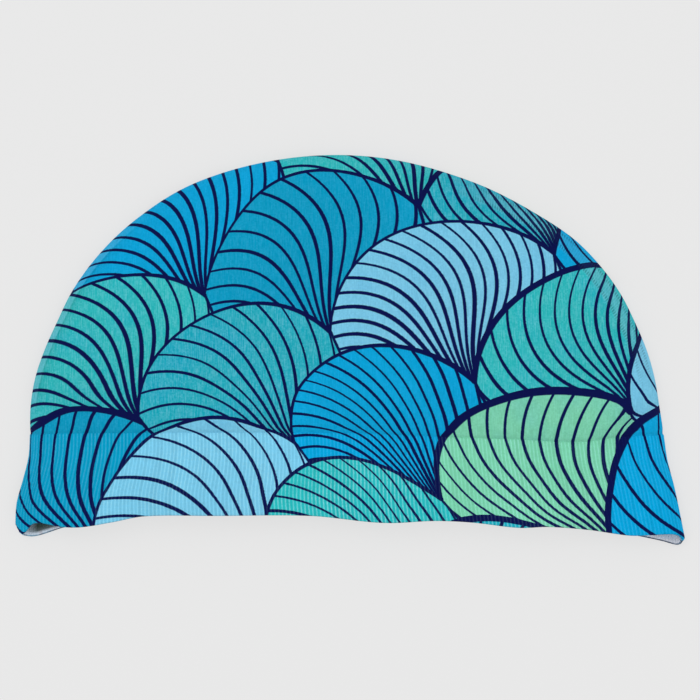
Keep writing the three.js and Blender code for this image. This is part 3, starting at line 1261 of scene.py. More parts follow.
    def _front_fan(self, x: Field, y: Field) -> FanPlace:
        """Finds the fan that lies in front at each place: the lowest row that reaches it.

        Args:
            x: The place along the rows.
            y: The place over them.

        Returns:
            The place in that fan.
        """
        top = ((y + self.fan_radius) / self.row_pitch).floor()
        found = aside = ahead = column = row = top * 0.0
        for below in reversed(range(self.rows_over)):
            its_row = top - float(below)
            offset = (its_row / 2.0).fraction()
            its_column = (x / self.fan_width - offset + 0.5).floor() + offset
            its_aside = x - its_column * self.fan_width
            its_ahead = y - its_row * self.row_pitch
            inside = its_aside * its_aside + its_ahead * its_ahead < self.fan_radius**2
            new = inside * (1.0 - found)
            aside, ahead = aside + new * its_aside, ahead + new * its_ahead
            column, row = column + new * its_column, row + new * its_row
            found = found.most(inside)
        return FanPlace(aside, ahead, column, row)


@dataclass(frozen=True)
class Stitches:
    """Plain knit stitches, one V over the other in wales, sized in millimetres.

    slant is how far a leg climbs, in courses. roundness is the power that a loop's height follows,
    and leg_share is how much of the relief its leg has where the loops meet.
    """

    course: float = 0.52
    slant: float = 0.6
    depth: float = 0.16
    roundness: float = 0.6
    leg_share: float = 0.4

    def relief(self, wales: Field, along: Field) -> tuple[Field, Field, Field]:
        """Draws the stitches.

        Args:
            wales: The place across them, in wales.
            along: The place along them, in millimetres.

        Returns:
            The relief from 0 to 1, and the wale's and the stitch's whole numbers.
        """
        leg = abs(wales.fraction() - 0.5) * 2.0
        ridge = ((1.0 - abs(leg - 0.5) * 2.0) * QUARTER_TURN).sine()
        course = along / self.course + leg * self.slant
        loop = (course.fraction() * math.pi).sine().power(self.roundness)
        return ridge * loop.at_least(self.leg_share), wales.floor(), course.floor()


@dataclass(frozen=True)
class Cloth:
    """What all the cap's knits share: the yarn's dull surface and how the print takes on it."""

    stitches: Stitches
    roughness: float = 0.88
    specular: float = 0.05
    sheen: float = 0.02
    sheen_roughness: float = 0.5
    ragged: float = 0.08

    def surface(self, shader: bpy.types.Node, palette: Palette, colour: Field, relief: Field) -> None:
        """Sets the shader to the cloth's colour, dullness and stitches.

        Args:
            shader: The shader.
            palette: Its tree.
            colour: The colour.
            relief: The stitches' relief, from 0 to 1.
        """
        inputs = {
            "Base Color": colour,
            "Roughness": self.roughness,
            "Specular IOR Level": self.specular,
            "Sheen Weight": self.sheen,
            "Sheen Roughness": self.sheen_roughness,
            "Normal": palette.bump(relief, self.stitches.depth * MM),
        }
        palette.fill(shader, inputs)

    def printed(self, palette: Palette, fans: bpy.types.NodeTree, luck: Field) -> tuple[Field, Field, Field]:
        """Puts the print on the cloth, with edges that follow the stitches a little.

        Args:
            palette: The material's tree.
            fans: The print.
            luck: A number from 0 to 1 for each stitch.

        Returns:
            The colour, the ink's share and how much white yarn shows.
        """
        across, along = palette.mapped(PRINT_MAP)
        shift = (luck - 0.5) * self.ragged
        group = palette.tree.nodes.new("ShaderNodeGroup")
        group.node_tree = fans
        palette.fill(group, {"Across": across + shift, "Along": along + shift})
        return tuple(Field(palette, group.outputs[name]) for name in ("Colour", "Ink", "Pale"))


@dataclass(frozen=True)
class PrintedJersey:
    """The crown's outer face: fine jersey, printed after knitting, so white yarn shows through.

    Lengths are in millimetres, from the seam or from the join. A name with tone is a part of the
    brightness, one with shade is what darkens it, which is painted shade in all but the stitches'
    marks, and one with share is how much another colour shows. A Span gives where something is 0
    and where it is 1.
    """

    fans: bpy.types.NodeTree
    cloth: Cloth = Cloth(Stitches())
    bare: Colour = srgb(176, 226, 236)
    wash: Colour = srgb(16, 150, 206)
    worn: Colour = srgb(128, 198, 220)
    tone: float = 0.76
    stitch_tone: float = 0.09
    streak_tone: float = 0.22
    drift_tone: float = 0.15
    wale_tone: float = 0.03
    # Painted shade on the stitches: their raised loops lighter and their hollows darker.
    painted_relief_tone: float = 0.08
    wale_length: float = 0.7
    drift_scale: float = 0.05
    drift_span: Span = (0.3, 0.6)
    wash_span: Span = (0.42, 0.7)
    wash_share: float = 0.2
    streaks: Span = (1.9, 0.2)
    fleck_luck: float = 0.2
    fleck_span: Span = (0.42, 0.95)
    fleck_share: float = 0.2
    ink_cover: float = 0.95
    # A painted shadow: a thin dark line just over the join, and a softer painted shade above it.
    join_span: Span = (1.1, 0.3)
    painted_join_shadow: float = 0.07
    dusk_span: Span = (6.0, 0.5)
    painted_shade_over_join: float = 0.05
    dusk_least: float = 0.5
    # Painted shade in the creases, and painted light on the swellings.
    painted_crease_shade: float = 0.12
    patch_scale: float = 0.3
    strip_span: Span = (2.75, 2.05)
    strip_worn: Span = (0.2, 0.4)
    strip_pale: float = 0.4
    # Painted shade of a groove along the left strip's inner side, with a softer painted shade beside it.
    groove: Stretch = Stretch((2.3, 2.7), (2.9, 3.4))
    beside: Stretch = Stretch((2.3, 2.7), (2.9, 7.4))
    beside_share: float = 0.8
    painted_groove_shade: float = 0.13
    track: Stretch = Stretch((0.7, 1.5), (6.4, 7.2))
    track_worn: Span = (0.2, 0.3)
    track_pale: float = 0.25
    ladders: Span = (1.7, 6.1)
    ladder_span: Span = (0.8, 0.4)
    ladder_least: float = 0.25
    dash_pitch: float = 1.05
    dash_slant: float = 0.35
    dash_span: Span = (0.4, 0.15)
    dash_cover: float = 0.6
    dash_shade: float = 0.36

    def material(self) -> bpy.types.Material:
        """Makes the material.

        Returns:
            The material.
        """
        material, palette, shader = new_material("printed_jersey")
        wales, along = palette.mapped(KNIT_MAP)
        relief, wale, stitch = self.cloth.stitches.relief(wales, along)
        luck = palette.chance(wale, stitch, Draw.JERSEY_STITCH)
        colour, ink, pale = self.cloth.printed(palette, self.fans, luck)
        clear = 1.0 - ink
        drift = palette.clouds(palette.at(wales * self.wale_length, along), self.drift_scale)
        washed = drift.between(*self.wash_span) * clear * pale * self.wash_share
        colour = palette.mix(washed, colour, self.wash)
        streak = palette.clouds(palette.at(wales * self.streaks[0], along * self.streaks[1]), 1.0, 1.0)
        fleck = (streak + luck * self.fleck_luck).between(*self.fleck_span) * self.fleck_share
        colour = palette.mix(fleck * pale * clear, colour, self.bare)
        bare, marks_and_painted_shade = self._over_seam(palette, pale)
        colour = palette.mix(bare * (1.0 - ink * self.ink_cover), colour, self.worn)
        # Painted shadow along the join, and painted shade above it, patchy with the drift.
        at_join = along.between(*self.join_span) * self.painted_join_shadow
        at_join = at_join + along.between(*self.dusk_span) * self.painted_shade_over_join
        shade = marks_and_painted_shade + at_join * drift.between(*self.drift_span).at_least(self.dusk_least)
        # Painted shade in the front's creases, and painted light on its swellings.
        shade = shade + palette.noted("dip") * self.painted_crease_shade
        tone = self.tone + luck * self.stitch_tone + streak * self.streak_tone + drift * self.drift_tone
        # Its last part is painted shade: the stitches' hollows darker than their raised loops.
        tone = tone + palette.chance(wale, 0.0, Draw.WALE) * self.wale_tone + relief * self.painted_relief_tone
        self.cloth.surface(shader, palette, palette.brighten(colour, tone - shade), relief)
        return material

    def _over_seam(self, palette: Palette, pale: Field) -> tuple[Field, Field]:
        """What the seam does to the print: a worn strip at the left edge, a marked track at the right.

        Args:
            palette: The material's tree.
            pale: How much white yarn the print lets show.

        Returns:
            How worn the print is, and how much darker it is by the stitches' marks and by the
            painted shade along the strip's inner side.
        """
        inset, run, left = (palette.noted(name) for name in ("from_seam", "seam_run", "bare_edge"))
        patches = palette.clouds(palette.at(run, inset), self.patch_scale)
        strip = inset.between(*self.strip_span) * left
        track = inset.within(self.track) * palette.noted("track")
        near, far = (abs(inset - at).between(*self.ladder_span) for at in self.ladders)
        rungs = run / self.dash_pitch + inset * self.dash_slant
        dashes = abs(rungs.fraction() - 0.5).between(*self.dash_span)
        dashes = dashes * near.most(far).at_least(self.ladder_least) * track
        on_strip = strip * (self.strip_worn[0] + self.strip_worn[1] * patches)
        on_track = (track - self.dash_cover * dashes) * (self.track_worn[0] + self.track_worn[1] * patches)
        worn = on_strip * pale.at_least(self.strip_pale) + on_track * pale.at_least(self.track_pale)
        # Painted shade along the strip's inner side, as from a groove.
        beside = inset.within(self.groove) + inset.within(self.beside) * self.beside_share
        return worn, dashes * self.dash_shade + beside * left * self.painted_groove_shade


@dataclass(frozen=True)
class PrintedRib:
    """The band's outer face: 1x1 rib with the print on its raised wales, white at the turn.

    The names go by the same rules as the jersey's. turned is how far the cloth is turned inside at
    the hem, from 0 to 1.
    """

    fans: bpy.types.NodeTree
    cloth: Cloth = Cloth(Stitches(course=0.6, depth=0.14))
    bare: Colour = srgb(176, 231, 238)
    worn: Colour = srgb(146, 176, 196)
    # The dark navy of the painted shade on the turn of the back's hem.
    hem_shade_colour: Colour = srgb(20, 42, 76)
    white: Colour = srgb(222, 227, 238)
    # The dark green of the painted shade deep inside the mouth.
    deep: Colour = srgb(26, 54, 40)
    tone: float = 0.85
    wale_tone: float = 0.09
    stitch_tone: float = 0.06
    groove_tone: float = 0.15
    rib_length: float = 1.4
    groove_span: Span = (0.2, 0.46)
    patch_scale: float = 0.045
    patch_span: Span = (0.35, 0.65)
    patch_least: float = 0.5
    dash_span: Span = (0.1, 0.9)
    dash_least: float = 0.45
    ink_cover: float = 0.9
    groove_share: float = 0.5
    worn_span: Span = (0.44, 0.6)
    worn_share: float = 0.7
    hem_shade_span: Span = (0.4, 0.52)
    # Painted shade on the hem's turn, where the cloth turns away from the light.
    edge: Stretch = Stretch((0.24, 0.38), (0.5, 0.62))
    painted_edge_shade: float = 0.34
    # Painted shade in the creases, and painted light on the swellings.
    painted_crease_shade: float = 0.1
    show_through: float = 0.16
    inside_span: Span = (0.7, 0.86)
    inside_luck: float = 0.06

    def material(self) -> bpy.types.Material:
        """Makes the material.

        Returns:
            The material.
        """
        material, palette, shader = new_material("printed_rib")
        ribs, along = palette.mapped(KNIT_MAP)
        relief, wale, stitch = self.cloth.stitches.relief(ribs, along)
        luck = palette.chance(wale, stitch, Draw.RIB_STITCH)
        colour, ink, pale = self.cloth.printed(palette, self.fans, luck)
        groove = abs(ribs.fraction() - 0.5).between(*self.groove_span)
        patches = palette.clouds(palette.at(ribs * self.rib_length, along), self.patch_scale)
        dashes = palette.chance(wale, stitch, Draw.RIB_DASH).between(*self.dash_span)
        patchy = patches.between(*self.patch_span).at_least(self.patch_least)
        share = groove * dashes.at_least(self.dash_least) * patchy * pale
        shown = palette.mix(share * (1.0 - ink * self.ink_cover) * self.groove_share, colour, self.bare)
        turned = palette.noted("turned")
        shown = palette.mix(turned.between(*self.worn_span) * self.worn_share, shown, self.worn)
        # Painted shade, dark navy, along the turn of the back's hem.
        shown = palette.mix(turned.between(*self.hem_shade_span) * palette.noted("hem_painted_shade"), shown, self.hem_shade_colour)
        # Painted shade on the hem's turn and in the creases.
        shade = turned.within(self.edge) * self.painted_edge_shade + palette.noted("dip") * self.painted_crease_shade
        tone = self.tone + palette.chance(wale, 0.0, Draw.WALE) * self.wale_tone + luck * self.stitch_tone
        outside = palette.brighten(shown, tone + groove * self.groove_tone - shade)
        inside = palette.mix(self.show_through, self.white, colour)
        # Painted shade deep inside the mouth, towards a dark green.
        inside = palette.mix(palette.noted("deep"), inside, self.deep)
        past_print = (turned + (luck - 0.5) * self.inside_luck).between(*self.inside_span)
        self.cloth.surface(shader, palette, palette.mix(past_print, outside, inside), relief)
        return material


@dataclass(frozen=True)
class PlainKnit:
    """The unprinted inside: off-white yarn, with the print showing through it faintly."""

    fans: bpy.types.NodeTree
    cloth: Cloth = Cloth(Stitches())
    white: Colour = srgb(222, 227, 238)
    show_through: float = 0.16
    tone: float = 0.95
    stitch_tone: float = 0.08

    def material(self) -> bpy.types.Material:
        """Makes the material.

        Returns:
            The material.
        """
        material, palette, shader = new_material("plain_knit")
        wales, along = palette.mapped(KNIT_MAP)
        relief, wale, stitch = self.cloth.stitches.relief(wales, along)
        luck = palette.chance(wale, stitch, Draw.INSIDE_STITCH)
        printed = self.cloth.printed(palette, self.fans, luck)[0]
        colour = palette.mix(self.show_through, self.white, printed)
        tone = self.tone + luck * self.stitch_tone
        self.cloth.surface(shader, palette, palette.brighten(colour, tone), relief)
        return material


@dataclass(frozen=True)
class OverlockThread:
    """Textured polyester thread, white, with its filaments lying along the stitch."""

    white: Colour = srgb(226, 230, 234)
    # Painted shade: the thread turns grey in its fuzz's hollows, where its bump sinks.
    painted_hollow_grey: Colour = srgb(196, 204, 212)
    filament: float = 0.16
    layers: float = 3.0
    depth: float = 0.05
    roughness: float = 0.7

    def material(self) -> bpy.types.Material:
        """Makes the material.

        Returns:
            The material.
        """
        material, palette, shader = new_material("overlock_thread")
        place = palette.made("ShaderNodeTexCoord", {}, "Object")
        fuzz = palette.clouds(place, 1 / (self.filament * MM), self.layers)
        inputs = {
            # Grey in the fuzz's hollows is painted shade.
            "Base Color": palette.mix(fuzz, self.painted_hollow_grey, self.white),
            "Roughness": self.roughness,
            "Normal": palette.bump(fuzz, self.depth * MM),
        }
        palette.fill(shader, inputs)
        return material


@dataclass
class CrownPanel:
    """One panel of the crown, a curved sheet of jersey with its edge rounded into the seam.

    Lengths are in millimetres. tuck is how far it reaches under the band's lip. sink is how deep it
    lies at the join, which ends at sink_reach, and sink_at_folds is the share of it at the side
    folds. track_height is how far the seam's allowance raises the front, over the distances from
    the outline in track_inset, and at least track_least of it shows. What ends in run is along the
    outline, in radians from the right end of the join: where the track is plain, where it is
    marked, and where the print is worn off the edge. The sheet is cut cut_past longer than the
    crown, and the dome is dome_share of the cut.
    """

    form: CapForm
    side: Side
    printed: bpy.types.Material
    inside: bpy.types.Material
    columns: int = 260
    rows: int = 110
    tuck: float = 0.9
    sink: float = 0.5
    sink_reach: float = 1.8
    sink_at_folds: float = 0.45
    track_height: float = 0.38
    track_least: float = 0.25
    track_inset: Stretch = Stretch((1.5, 2.7), (6.2, 7.5))
    track_run: Stretch = Stretch((0.1, 0.4), (1.0, 1.4))
    marked_run: Stretch = Stretch((0.12, 0.35), (1.0, 1.25))
    bare_run: Stretch = Stretch((2.2, 2.45), (2.98, 3.1))
    rim_round: float = 0.32
    rim_faces: int = 3
    wale: float = 0.705
    cut_past: float = 2.0
    dome_share: float = 0.79

    def build(self) -> bpy.types.Object:
        """Makes the panel.

        Returns:
            The finished piece.
        """
        form, side = self.form, self.side
        node = "crown_front" if side is Side.FRONT else "crown_back"
        piece = Workshop.grid(f"{node}_jersey", self.columns, self.rows)
        start = Workshop.corners(piece)
        turn = (start[:, 0] - 0.5) * math.pi
        climb = self._climb(start[:, 1])
        points = self._surface(turn, climb)
        across, along = form.flat_place(side, turn, climb)
        around = form.round_join(side, 0.0) + side.value * across
        Workshop.move_corners(piece, points * MM)
        Workshop.unwrap(piece, KNIT_MAP, across / self.wale, along)
        Workshop.unwrap(piece, PRINT_MAP, *form.print_place(side, around, along, points))
        self._note_seam(piece, turn, climb)
        Workshop.merge(piece)
        Workshop.face(piece, (0, 0, side.value))
        Workshop.dress(piece, self.printed, self.inside)
        Workshop.thicken(piece, form.crown_wall, self.rim_round, self.rim_faces, inside=1)
        Workshop.finish(piece, Slot.JERSEY, node)
        width, height = 2 * form.half_join * MM, (form.crown_height + self.cut_past) * MM
        area = self.dome_share * width * height
        return piece

    def _climb(self, share: np.ndarray) -> np.ndarray:
        """The climb of each row, from just under the band's lip to the top.

        Args:
            share: The rows' places in the grid, from 0 to 1.

        Returns:
            The climbs.
        """
        under_lip = -self.tuck / self.form.band_height
        row = share * self.rows
        return np.where(row <= 1, under_lip * (1 - row), (row - 1) / (self.rows - 1))

    def _surface(self, turn: np.ndarray, climb: np.ndarray) -> np.ndarray:
        """Where the panel's outer face lies.

        Args:
            turn: Across the cap, in radians.
            climb: From 0 at the join to 1 at the top, and below 0 under the band's lip.

        Returns:
            One row of x, y and z in millimetres for each place.
        """
        form, front = self.form, self.side is Side.FRONT
        inset, _, angle = form.seam_place(turn, climb)
        from_join = np.maximum(climb, 0) * QUARTER_TURN * form.crown_height
        by_fold = self.sink_at_folds + (1 - self.sink_at_folds) * np.sqrt(np.maximum(np.cos(turn), 0))
        depth = self.sink * by_fold * (1 - step_up(from_join, 0.0, self.sink_reach))
        if front:
            shown = self.track_least + (1 - self.track_least) * self.track_run.share(angle)
            depth = depth - self.track_height * self.track_inset.share(inset) * shown
        points = form.outer(self.side, turn, climb) - form.outward(self.side, turn, climb) * depth[:, None]
        half_gap = form.panel_gap / 2
        if front:
            points[:, 2] += half_gap
        else:
            points[:, 2] *= 1 - half_gap / form.fold_radius
        return points

    def _note_seam(self, piece: bpy.types.Object, turn: np.ndarray, climb: np.ndarray) -> None:
        """Notes what the finish needs to know about the seam and the creases.

        Args:
            piece: The panel.
            turn: Across the cap, in radians.
            climb: From 0 at the join to 1 at the top.
        """
        inset, run, angle = self.form.seam_place(turn, climb)
        front = 1.0 if self.side is Side.FRONT else 0.0
        Workshop.note(piece, "from_seam", inset)
        Workshop.note(piece, "seam_run", run)
        # The creases' depth, which the finishes paint as shade, and as light on the swellings.
        Workshop.note(piece, "dip", front * self.form.dip(piece))
        Workshop.note(piece, "track", front * self.marked_run.share(angle))
        Workshop.note(piece, "bare_edge", self.bare_run.share(angle))


@dataclass
class RibBand:
    """The band: a tube of 1x1 rib, folded flat and turned at the hem.

    Lengths are in millimetres. relief is the ribs' height, rib_round the power that their backs
    follow, and rib_level the share of it that stands over the ribs' feet. lip is how far under the
    join the outer face ends. From there the edge is rounded inwards: it lies lip_top under the join
    from a depth of lip_roll times lip on, and ends lip_room short of the inner face. The mouth's
    painted shade, darker inside where the fold keeps the light out, begins over the distances from
    the hem in deep_from, where the cloth is turned in by more than turned_in.
    """

    form: CapForm
    fans: bpy.types.NodeTree
    rib_pitch: float = 1.41
    parts_per_rib: int = 6
    relief: float = 0.2
    rib_round: float = 0.7
    rib_level: float = 0.6
    lip: float = 0.7
    lip_top: float = 0.12
    lip_room: float = 0.35
    lip_roll: float = 0.8
    outer_rows: int = 13
    nose_rows: int = 7
    inner_rows: int = 10
    inner_crowding: float = 1.8
    deep_from: Span = (0.7, 1.8)
    turned_in: float = 0.9
    samples: int = 4000

    def build(self) -> bpy.types.Object:
        """Makes the band.

        Returns:
            The finished piece.
        """
        form = self.form
        turns, sides, girth = self._even_turns()
        climbs, depths, turned = self._profile()
        piece = Workshop.grid("band_rib", len(turns) - 1, len(climbs) - 1)
        start = Workshop.corners(piece)
        column = np.rint(start[:, 0] * (len(turns) - 1)).astype(int)
        row = np.rint(start[:, 1] * (len(climbs) - 1)).astype(int)
        turn, climb, turned, ribs = turns[column], climbs[row], turned[row], column / self.parts_per_rib
        depth = depths[row] - self._lift(ribs, depths[row])
        points, along, printed = np.empty((len(start), 3)), np.empty(len(start)), np.empty((2, len(start)))
        for side in Side:
            here = sides[column] == side.value
            across, level = turn[here], climb[here]
            place = form.outer(side, across, level)
            points[here] = place - form.outward(side, across, level) * depth[here][:, None]
            along[here] = self._from_join(side, across, level)
            printed[:, here] = form.print_place(side, form.round_join(side, across), along[here], place)
        points[:, 2] = np.maximum(points[:, 2], 0)
        Workshop.move_corners(piece, points * MM)
        Workshop.unwrap(piece, KNIT_MAP, ribs, along)
        Workshop.unwrap(piece, PRINT_MAP, *printed)
        # The creases' depth, which the finish paints as shade.
        Workshop.note(piece, "dip", form.dip(piece) * (sides[column] == Side.FRONT.value))
        Workshop.note(piece, "turned", turned)
        # The painted shade on the turn of the back's hem, by place across.
        ink = np.interp(np.sin(turn), *table_columns(HEM_PAINTED_SHADE))
        Workshop.note(piece, "hem_painted_shade", ink * (sides[column] == Side.BACK.value))
        # The share of painted shade inside the mouth.
        Workshop.note(piece, "deep", self._painted_mouth_shade(np.sin(turn), climb, turned))
        Workshop.merge(piece)
        Workshop.close(piece)
        Workshop.dress(piece, PrintedRib(self.fans).material())
        Workshop.finish(piece, Slot.RIB, "band")
        girth * MM
        return piece

    def _from_join(self, side: Side, turn: np.ndarray, climb: np.ndarray) -> np.ndarray:
        """How far places of the band lie from the join in millimetres, below zero towards the hem."""
        across = np.sin(turn)
        return self.form.level(side, across, climb) - self.form.level(side, across, np.zeros(len(turn)))

    def _lift(self, ribs: np.ndarray, depth: np.ndarray) -> np.ndarray:
        """How far the ribs raise the cloth outside, and sink it inside.

        Args:
            ribs: The places round the band, in ribs.
            depth: The depths under the outer face, in millimetres.

        Returns:
            The heights in millimetres.
        """
        raised = 0.5 - 0.5 * np.cos(2 * math.pi * ribs)
        facing = 1 - depth / (self.form.band_wall / 2)
        back = raised**self.rib_round - self.rib_level
        return self.relief * back * np.sign(facing) * np.sqrt(np.abs(facing))

    def _even_turns(self) -> tuple[np.ndarray, np.ndarray, float]:
        """Spaces the columns evenly round the band, from the left fold over the front.

        Returns:
            Each column's turn, its side (1 or -1), and the band's girth in millimetres.
        """
        across = np.linspace(-QUARTER_TURN, QUARTER_TURN, self.samples)
        back_across = across[::-1]
        middle = np.full(self.samples, -0.5)
        front = self.form.outer(Side.FRONT, across, middle)
        back = self.form.outer(Side.BACK, back_across, middle)
        lengths = lengths_along(np.concatenate([front, back[1:]]))
        girth, right_fold = float(lengths[-1]), self.samples - 1
        count = round(girth / self.rib_pitch) * self.parts_per_rib
        at = np.linspace(0, girth, count + 1)
        side = np.where(at <= lengths[right_fold], Side.FRONT.value, Side.BACK.value)
        front_turns = np.interp(at, lengths[: self.samples], across)
        back_turns = np.interp(at, lengths[right_fold:], back_across)
        return np.where(side > 0, front_turns, back_turns), side, girth

    def _profile(self) -> tuple[np.ndarray, np.ndarray, np.ndarray]:
        """The band's section, from its lip down the outer ply, round the hem and up inside.

        Returns:
            The climb, the depth under the outer face, and how far the cloth is turned inside, from
            0 to 1, for each step.
        """
        wall, high = self.form.band_wall, self.form.band_height
        nose = wall / 2
        top, bottom = -self.lip / high, -1 + nose / high
        outer = np.linspace(top, bottom, self.outer_rows + 1)
        angles = np.linspace(0, math.pi, self.nose_rows + 1)[1:]
        nose_climb = bottom - np.sin(angles) * nose / high
        nose_depth = nose - np.cos(angles) * nose
        inner = bottom + (top - bottom) * np.linspace(0, 1, self.inner_rows + 1)[1:] ** self.inner_crowding
        lip_climb = -np.array([self.lip_top, self.lip_top, self.lip]) / high
        lip_depth = np.array([wall - self.lip_room, self.lip * self.lip_roll, 0.0])
        climb = np.concatenate([outer, nose_climb, inner, lip_climb])
        depth = np.concatenate([np.zeros(len(outer)), nose_depth, np.full(len(inner), wall), lip_depth])
        turned = np.concatenate([np.zeros(len(outer)), angles / math.pi, np.ones(len(inner)), [1, 0, 0]])
        return climb, depth, turned

    def _painted_mouth_shade(self, across: np.ndarray, climb: np.ndarray, turned: np.ndarray) -> np.ndarray:
        """How much painted shade each place takes inside the mouth, which opens more at its left.

        Args:
            across: From -1 at the left fold to 1 at the right one.
            climb: From -1 at the hem to 0 at the join.
            turned: How far the cloth is turned inside, from 0 to 1.

        Returns:
            The painted shade's share.
        """
        from_hem = (1 + climb) * self.form.band_height
        shade = np.interp(across, *table_columns(PAINTED_MOUTH_SHADE))
        return step_up(from_hem, *self.deep_from) * shade * (turned > self.turned_in)


@dataclass(frozen=True)
class ThreadPlace:
    """A place that the thread passes in each stitch.

    stitch is how far on in the stitch it is. out goes from 0 over the needle's line to 1 over the
    cloth's edge, with aside in millimetres past that, and sunk from 0 over the cloth to 1 under it.
    """

    stitch: float
    out: float
    aside: float
    sunk: float


THREAD_WAY = (
    ThreadPlace(0.0, 0.0, 0.0, 1.0),
    ThreadPlace(0.2, 0.5, 0.0, 1.0),
    ThreadPlace(0.4, 1.0, -0.2, 1.0),
    ThreadPlace(0.5, 1.0, 0.1, 0.5),
    ThreadPlace(0.6, 1.0, -0.2, 0.0),
    ThreadPlace(0.8, 0.5, 0.0, 0.0),
    ThreadPlace(0.95, 0.0, 0.15, 0.5),
)


@dataclass
class SeamAllowance:
    """The overlocked allowance inside the front, with thread wrapped round its free edge.

    clear is the room between it and the front. strip_gap and thread_gap are the angles that the
    cloth and the thread leave free at each end of the outline. The needle's line is a share of the
    allowance's width in from the seam, and the thread runs past the edge, over and under the cloth.
    """

    form: CapForm
    inside: bpy.types.Material
    columns: int = 300
    rows: int = 6
    wall: float = 1.0
    clear: float = 0.2
    strip_gap: float = 0.012
    rim_round: float = 0.25
    rim_faces: int = 2
    stitch_pitch: float = 2.1
    thread: float = 0.16
    thread_gap: float = 0.02
    needle_share: float = 0.35
    past_edge: float = 0.25
    over_cloth: float = 0.05
    under_cloth: float = 0.12

    def build(self) -> list[bpy.types.Object]:
        """Makes the strip and its thread.

        Returns:
            The finished pieces.
        """
        form = self.form
        strip = Workshop.grid("seam_allowance", self.columns, self.rows)
        start = Workshop.corners(strip)
        inset = form.seam_inset + start[:, 1] * form.seam_width
        angle = self._angle(start[:, 0], self.strip_gap)
        Workshop.move_corners(strip, self._under_front(angle, inset, form.crown_wall + self.clear) * MM)
        for name in (KNIT_MAP, PRINT_MAP):
            Workshop.unwrap(strip, name, angle * form.crown_height, inset)
        Workshop.face(strip, (0, 0, 1))
        Workshop.dress(strip, self.inside)
        Workshop.thicken(strip, self.wall, self.rim_round, self.rim_faces)
        Workshop.finish(strip, Slot.OVERLOCK, "crown_seam")
        return [strip, self._thread()]

    @staticmethod
    def _angle(share: np.ndarray, gap: float) -> np.ndarray:
        """The angles of places along the outline, given as shares of it less a gap at each end."""
        return gap + share * (math.pi - 2 * gap)

    def _under_front(self, angle: np.ndarray, inset: np.ndarray, depth: np.ndarray | float) -> np.ndarray:
        """Places under the front panel.

        Args:
            angle: Their angles along the outline.
            inset: How far in from the outline they are, in millimetres.
            depth: How far under the panel's outer face they are, in millimetres.

        Returns:
            One row of x, y and z in millimetres for each place.
        """
        form = self.form
        turn, climb = form.from_ray(angle, 1 - inset / form.reach(angle))
        depths = np.broadcast_to(depth, angle.shape)[:, None]
        return form.outer(Side.FRONT, turn, climb) - form.outward(Side.FRONT, turn, climb) * depths

    def _thread(self) -> bpy.types.Object:
        """Wraps the free edge in thread, over and under, stitch after stitch.

        Returns:
            The finished piece.
        """
        form = self.form
        count = int(math.pi * (form.half_hem + form.crown_height) / 2 / self.stitch_pitch)
        needle = form.seam_inset + form.seam_width * self.needle_share
        edge = form.seam_inset + form.seam_width + self.past_edge
        over = form.crown_wall + self.clear - self.over_cloth
        under = form.crown_wall + self.clear + self.wall + self.under_cloth
        stitch, out, aside, sunk = table_columns(THREAD_WAY)
        at = (np.arange(count)[:, None] + stitch).ravel()
        inset = np.tile(needle + (edge - needle) * out + aside, count)
        depth = np.tile(over + (under - over) * sunk, count)
        points = self._under_front(self._angle(at / count, self.thread_gap), inset, depth) * MM
        curve = bpy.data.curves.new("overlock_thread", "CURVE")
        curve.dimensions = "3D"
        curve.bevel_depth = self.thread * MM
        curve.bevel_resolution = 1
        curve.use_fill_caps = True
        line = curve.splines.new("POLY")
        line.points.add(len(points) - 1)
        line.points.foreach_set("co", np.insert(points, 3, 1.0, axis=1).astype(np.float32).ravel())
        piece = bpy.data.objects.new("overlock_thread", curve)
        bpy.context.scene.collection.objects.link(piece)
        Workshop.pick(piece)
        bpy.ops.object.convert(target="MESH")
        piece = bpy.context.active_object
        Workshop.dress(piece, OverlockThread().material())
        Workshop.finish(piece, Slot.OVERLOCK)
        return piece


@dataclass(frozen=True)
class Lamp:
    """A soft square light that looks at the cap, in metres and watts."""

    name: str
    place: tuple[float, float, float]
    size: float
    power: float


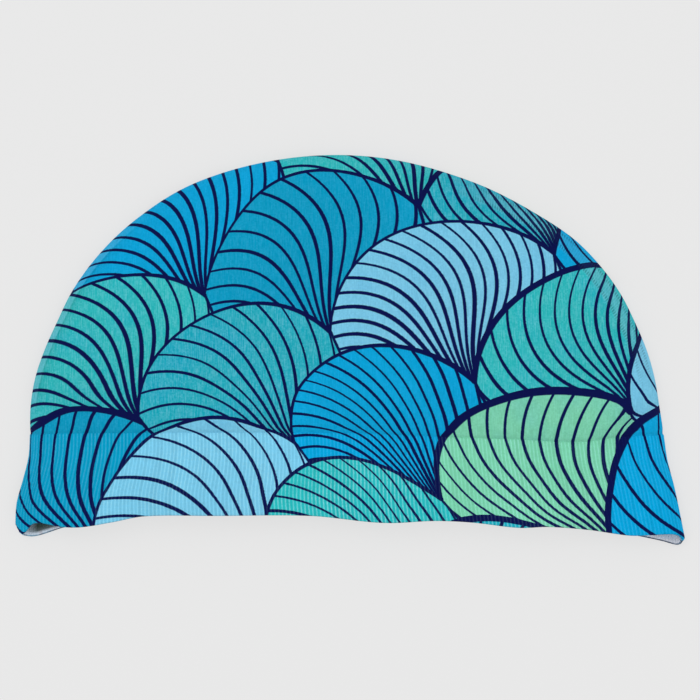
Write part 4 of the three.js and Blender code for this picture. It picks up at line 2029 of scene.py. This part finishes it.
@dataclass
class Studio:
    """A pale floor, soft light and a camera that looks straight down, as the photograph does.

    floor_glow is the share of the floor's paleness that it gives off by itself, so that it stays
    as even as the photograph's ground.
    """

    frame_width: float = 0.26706
    lens: float = 200.0
    sensor: float = 36.0
    focus_height: float = 0.004
    sky: float = 0.84
    lamps: tuple[Lamp, ...] = (
        Lamp("key", (-0.7, 0.75, 1.5), 1.0, 5.5),
        Lamp("fill", (0.9, -0.4, 1.6), 1.4, 3.0),
    )
    floor_size: float = 6.0
    floor_colour: Colour = srgb(232, 232, 232)
    floor_glow: float = 0.8
    floor_roughness: float = 0.95

    def build(self) -> None:
        """Sets up the floor, the lights and the camera."""
        self._floor()
        self._world()
        for lamp in self.lamps:
            self._light(lamp)
        self._camera()

    def _floor(self) -> None:
        """Lays the floor."""
        Workshop.clear_selection()
        bpy.ops.mesh.primitive_plane_add(size=self.floor_size)
        floor = bpy.context.active_object
        floor.name = "floor"
        material, palette, shader = new_material("floor")
        red, green, blue, alpha = self.floor_colour
        lit = 1 - self.floor_glow
        inputs = {
            "Base Color": (red * lit, green * lit, blue * lit, alpha),
            "Emission Color": self.floor_colour,
            "Emission Strength": self.floor_glow,
            "Roughness": self.floor_roughness,
            "Specular IOR Level": 0.0,
        }
        palette.fill(shader, inputs)
        Workshop.dress(floor, material)

    def _world(self) -> None:
        """Lights all round evenly."""
        world = bpy.data.worlds.new("studio")
        world.use_nodes = True
        background = world.node_tree.nodes["Background"]
        background.inputs["Color"].default_value = (1.0, 1.0, 1.0, 1.0)
        background.inputs["Strength"].default_value = self.sky
        bpy.context.scene.world = world
        bpy.context.scene.view_settings.view_transform = "Standard"

    def _light(self, lamp: Lamp) -> None:
        """Hangs a lamp.

        Args:
            lamp: The lamp.
        """
        data = bpy.data.lights.new(lamp.name, "AREA")
        data.size = lamp.size
        data.energy = lamp.power
        light = bpy.data.objects.new(lamp.name, data)
        light.location = lamp.place
        away = np.array(lamp.place) / np.linalg.norm(lamp.place)
        light.rotation_euler = (0.0, math.acos(away[2]), math.atan2(away[1], away[0]))
        bpy.context.scene.collection.objects.link(light)

    def _camera(self) -> None:
        """Looks straight down from far enough for the photograph's frame."""
        data = bpy.data.cameras.new("camera")
        data.lens = self.lens
        data.sensor_width = self.sensor
        camera = bpy.data.objects.new("camera", data)
        distance = self.frame_width * self.lens / self.sensor
        camera.location = (0.0, 0.0, distance + self.focus_height)
        bpy.context.scene.collection.objects.link(camera)
        bpy.context.scene.camera = camera


def main() -> None:
    """Loads the frame, builds the cap's pieces in order, and sets up the studio."""
    logging.basicConfig(level=logging.INFO, format="%(name)s: %(message)s")
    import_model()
    form = CapForm()
    fans = FanPrint().group()
    jersey, plain = PrintedJersey(fans).material(), PlainKnit(fans).material()
    CrownPanel(form, Side.BACK, jersey, plain).build()
    CrownPanel(form, Side.FRONT, jersey, plain).build()
    SeamAllowance(form, plain).build()
    RibBand(form, fans).build()
    Studio().build()


if __name__ == "__main__":
    main()
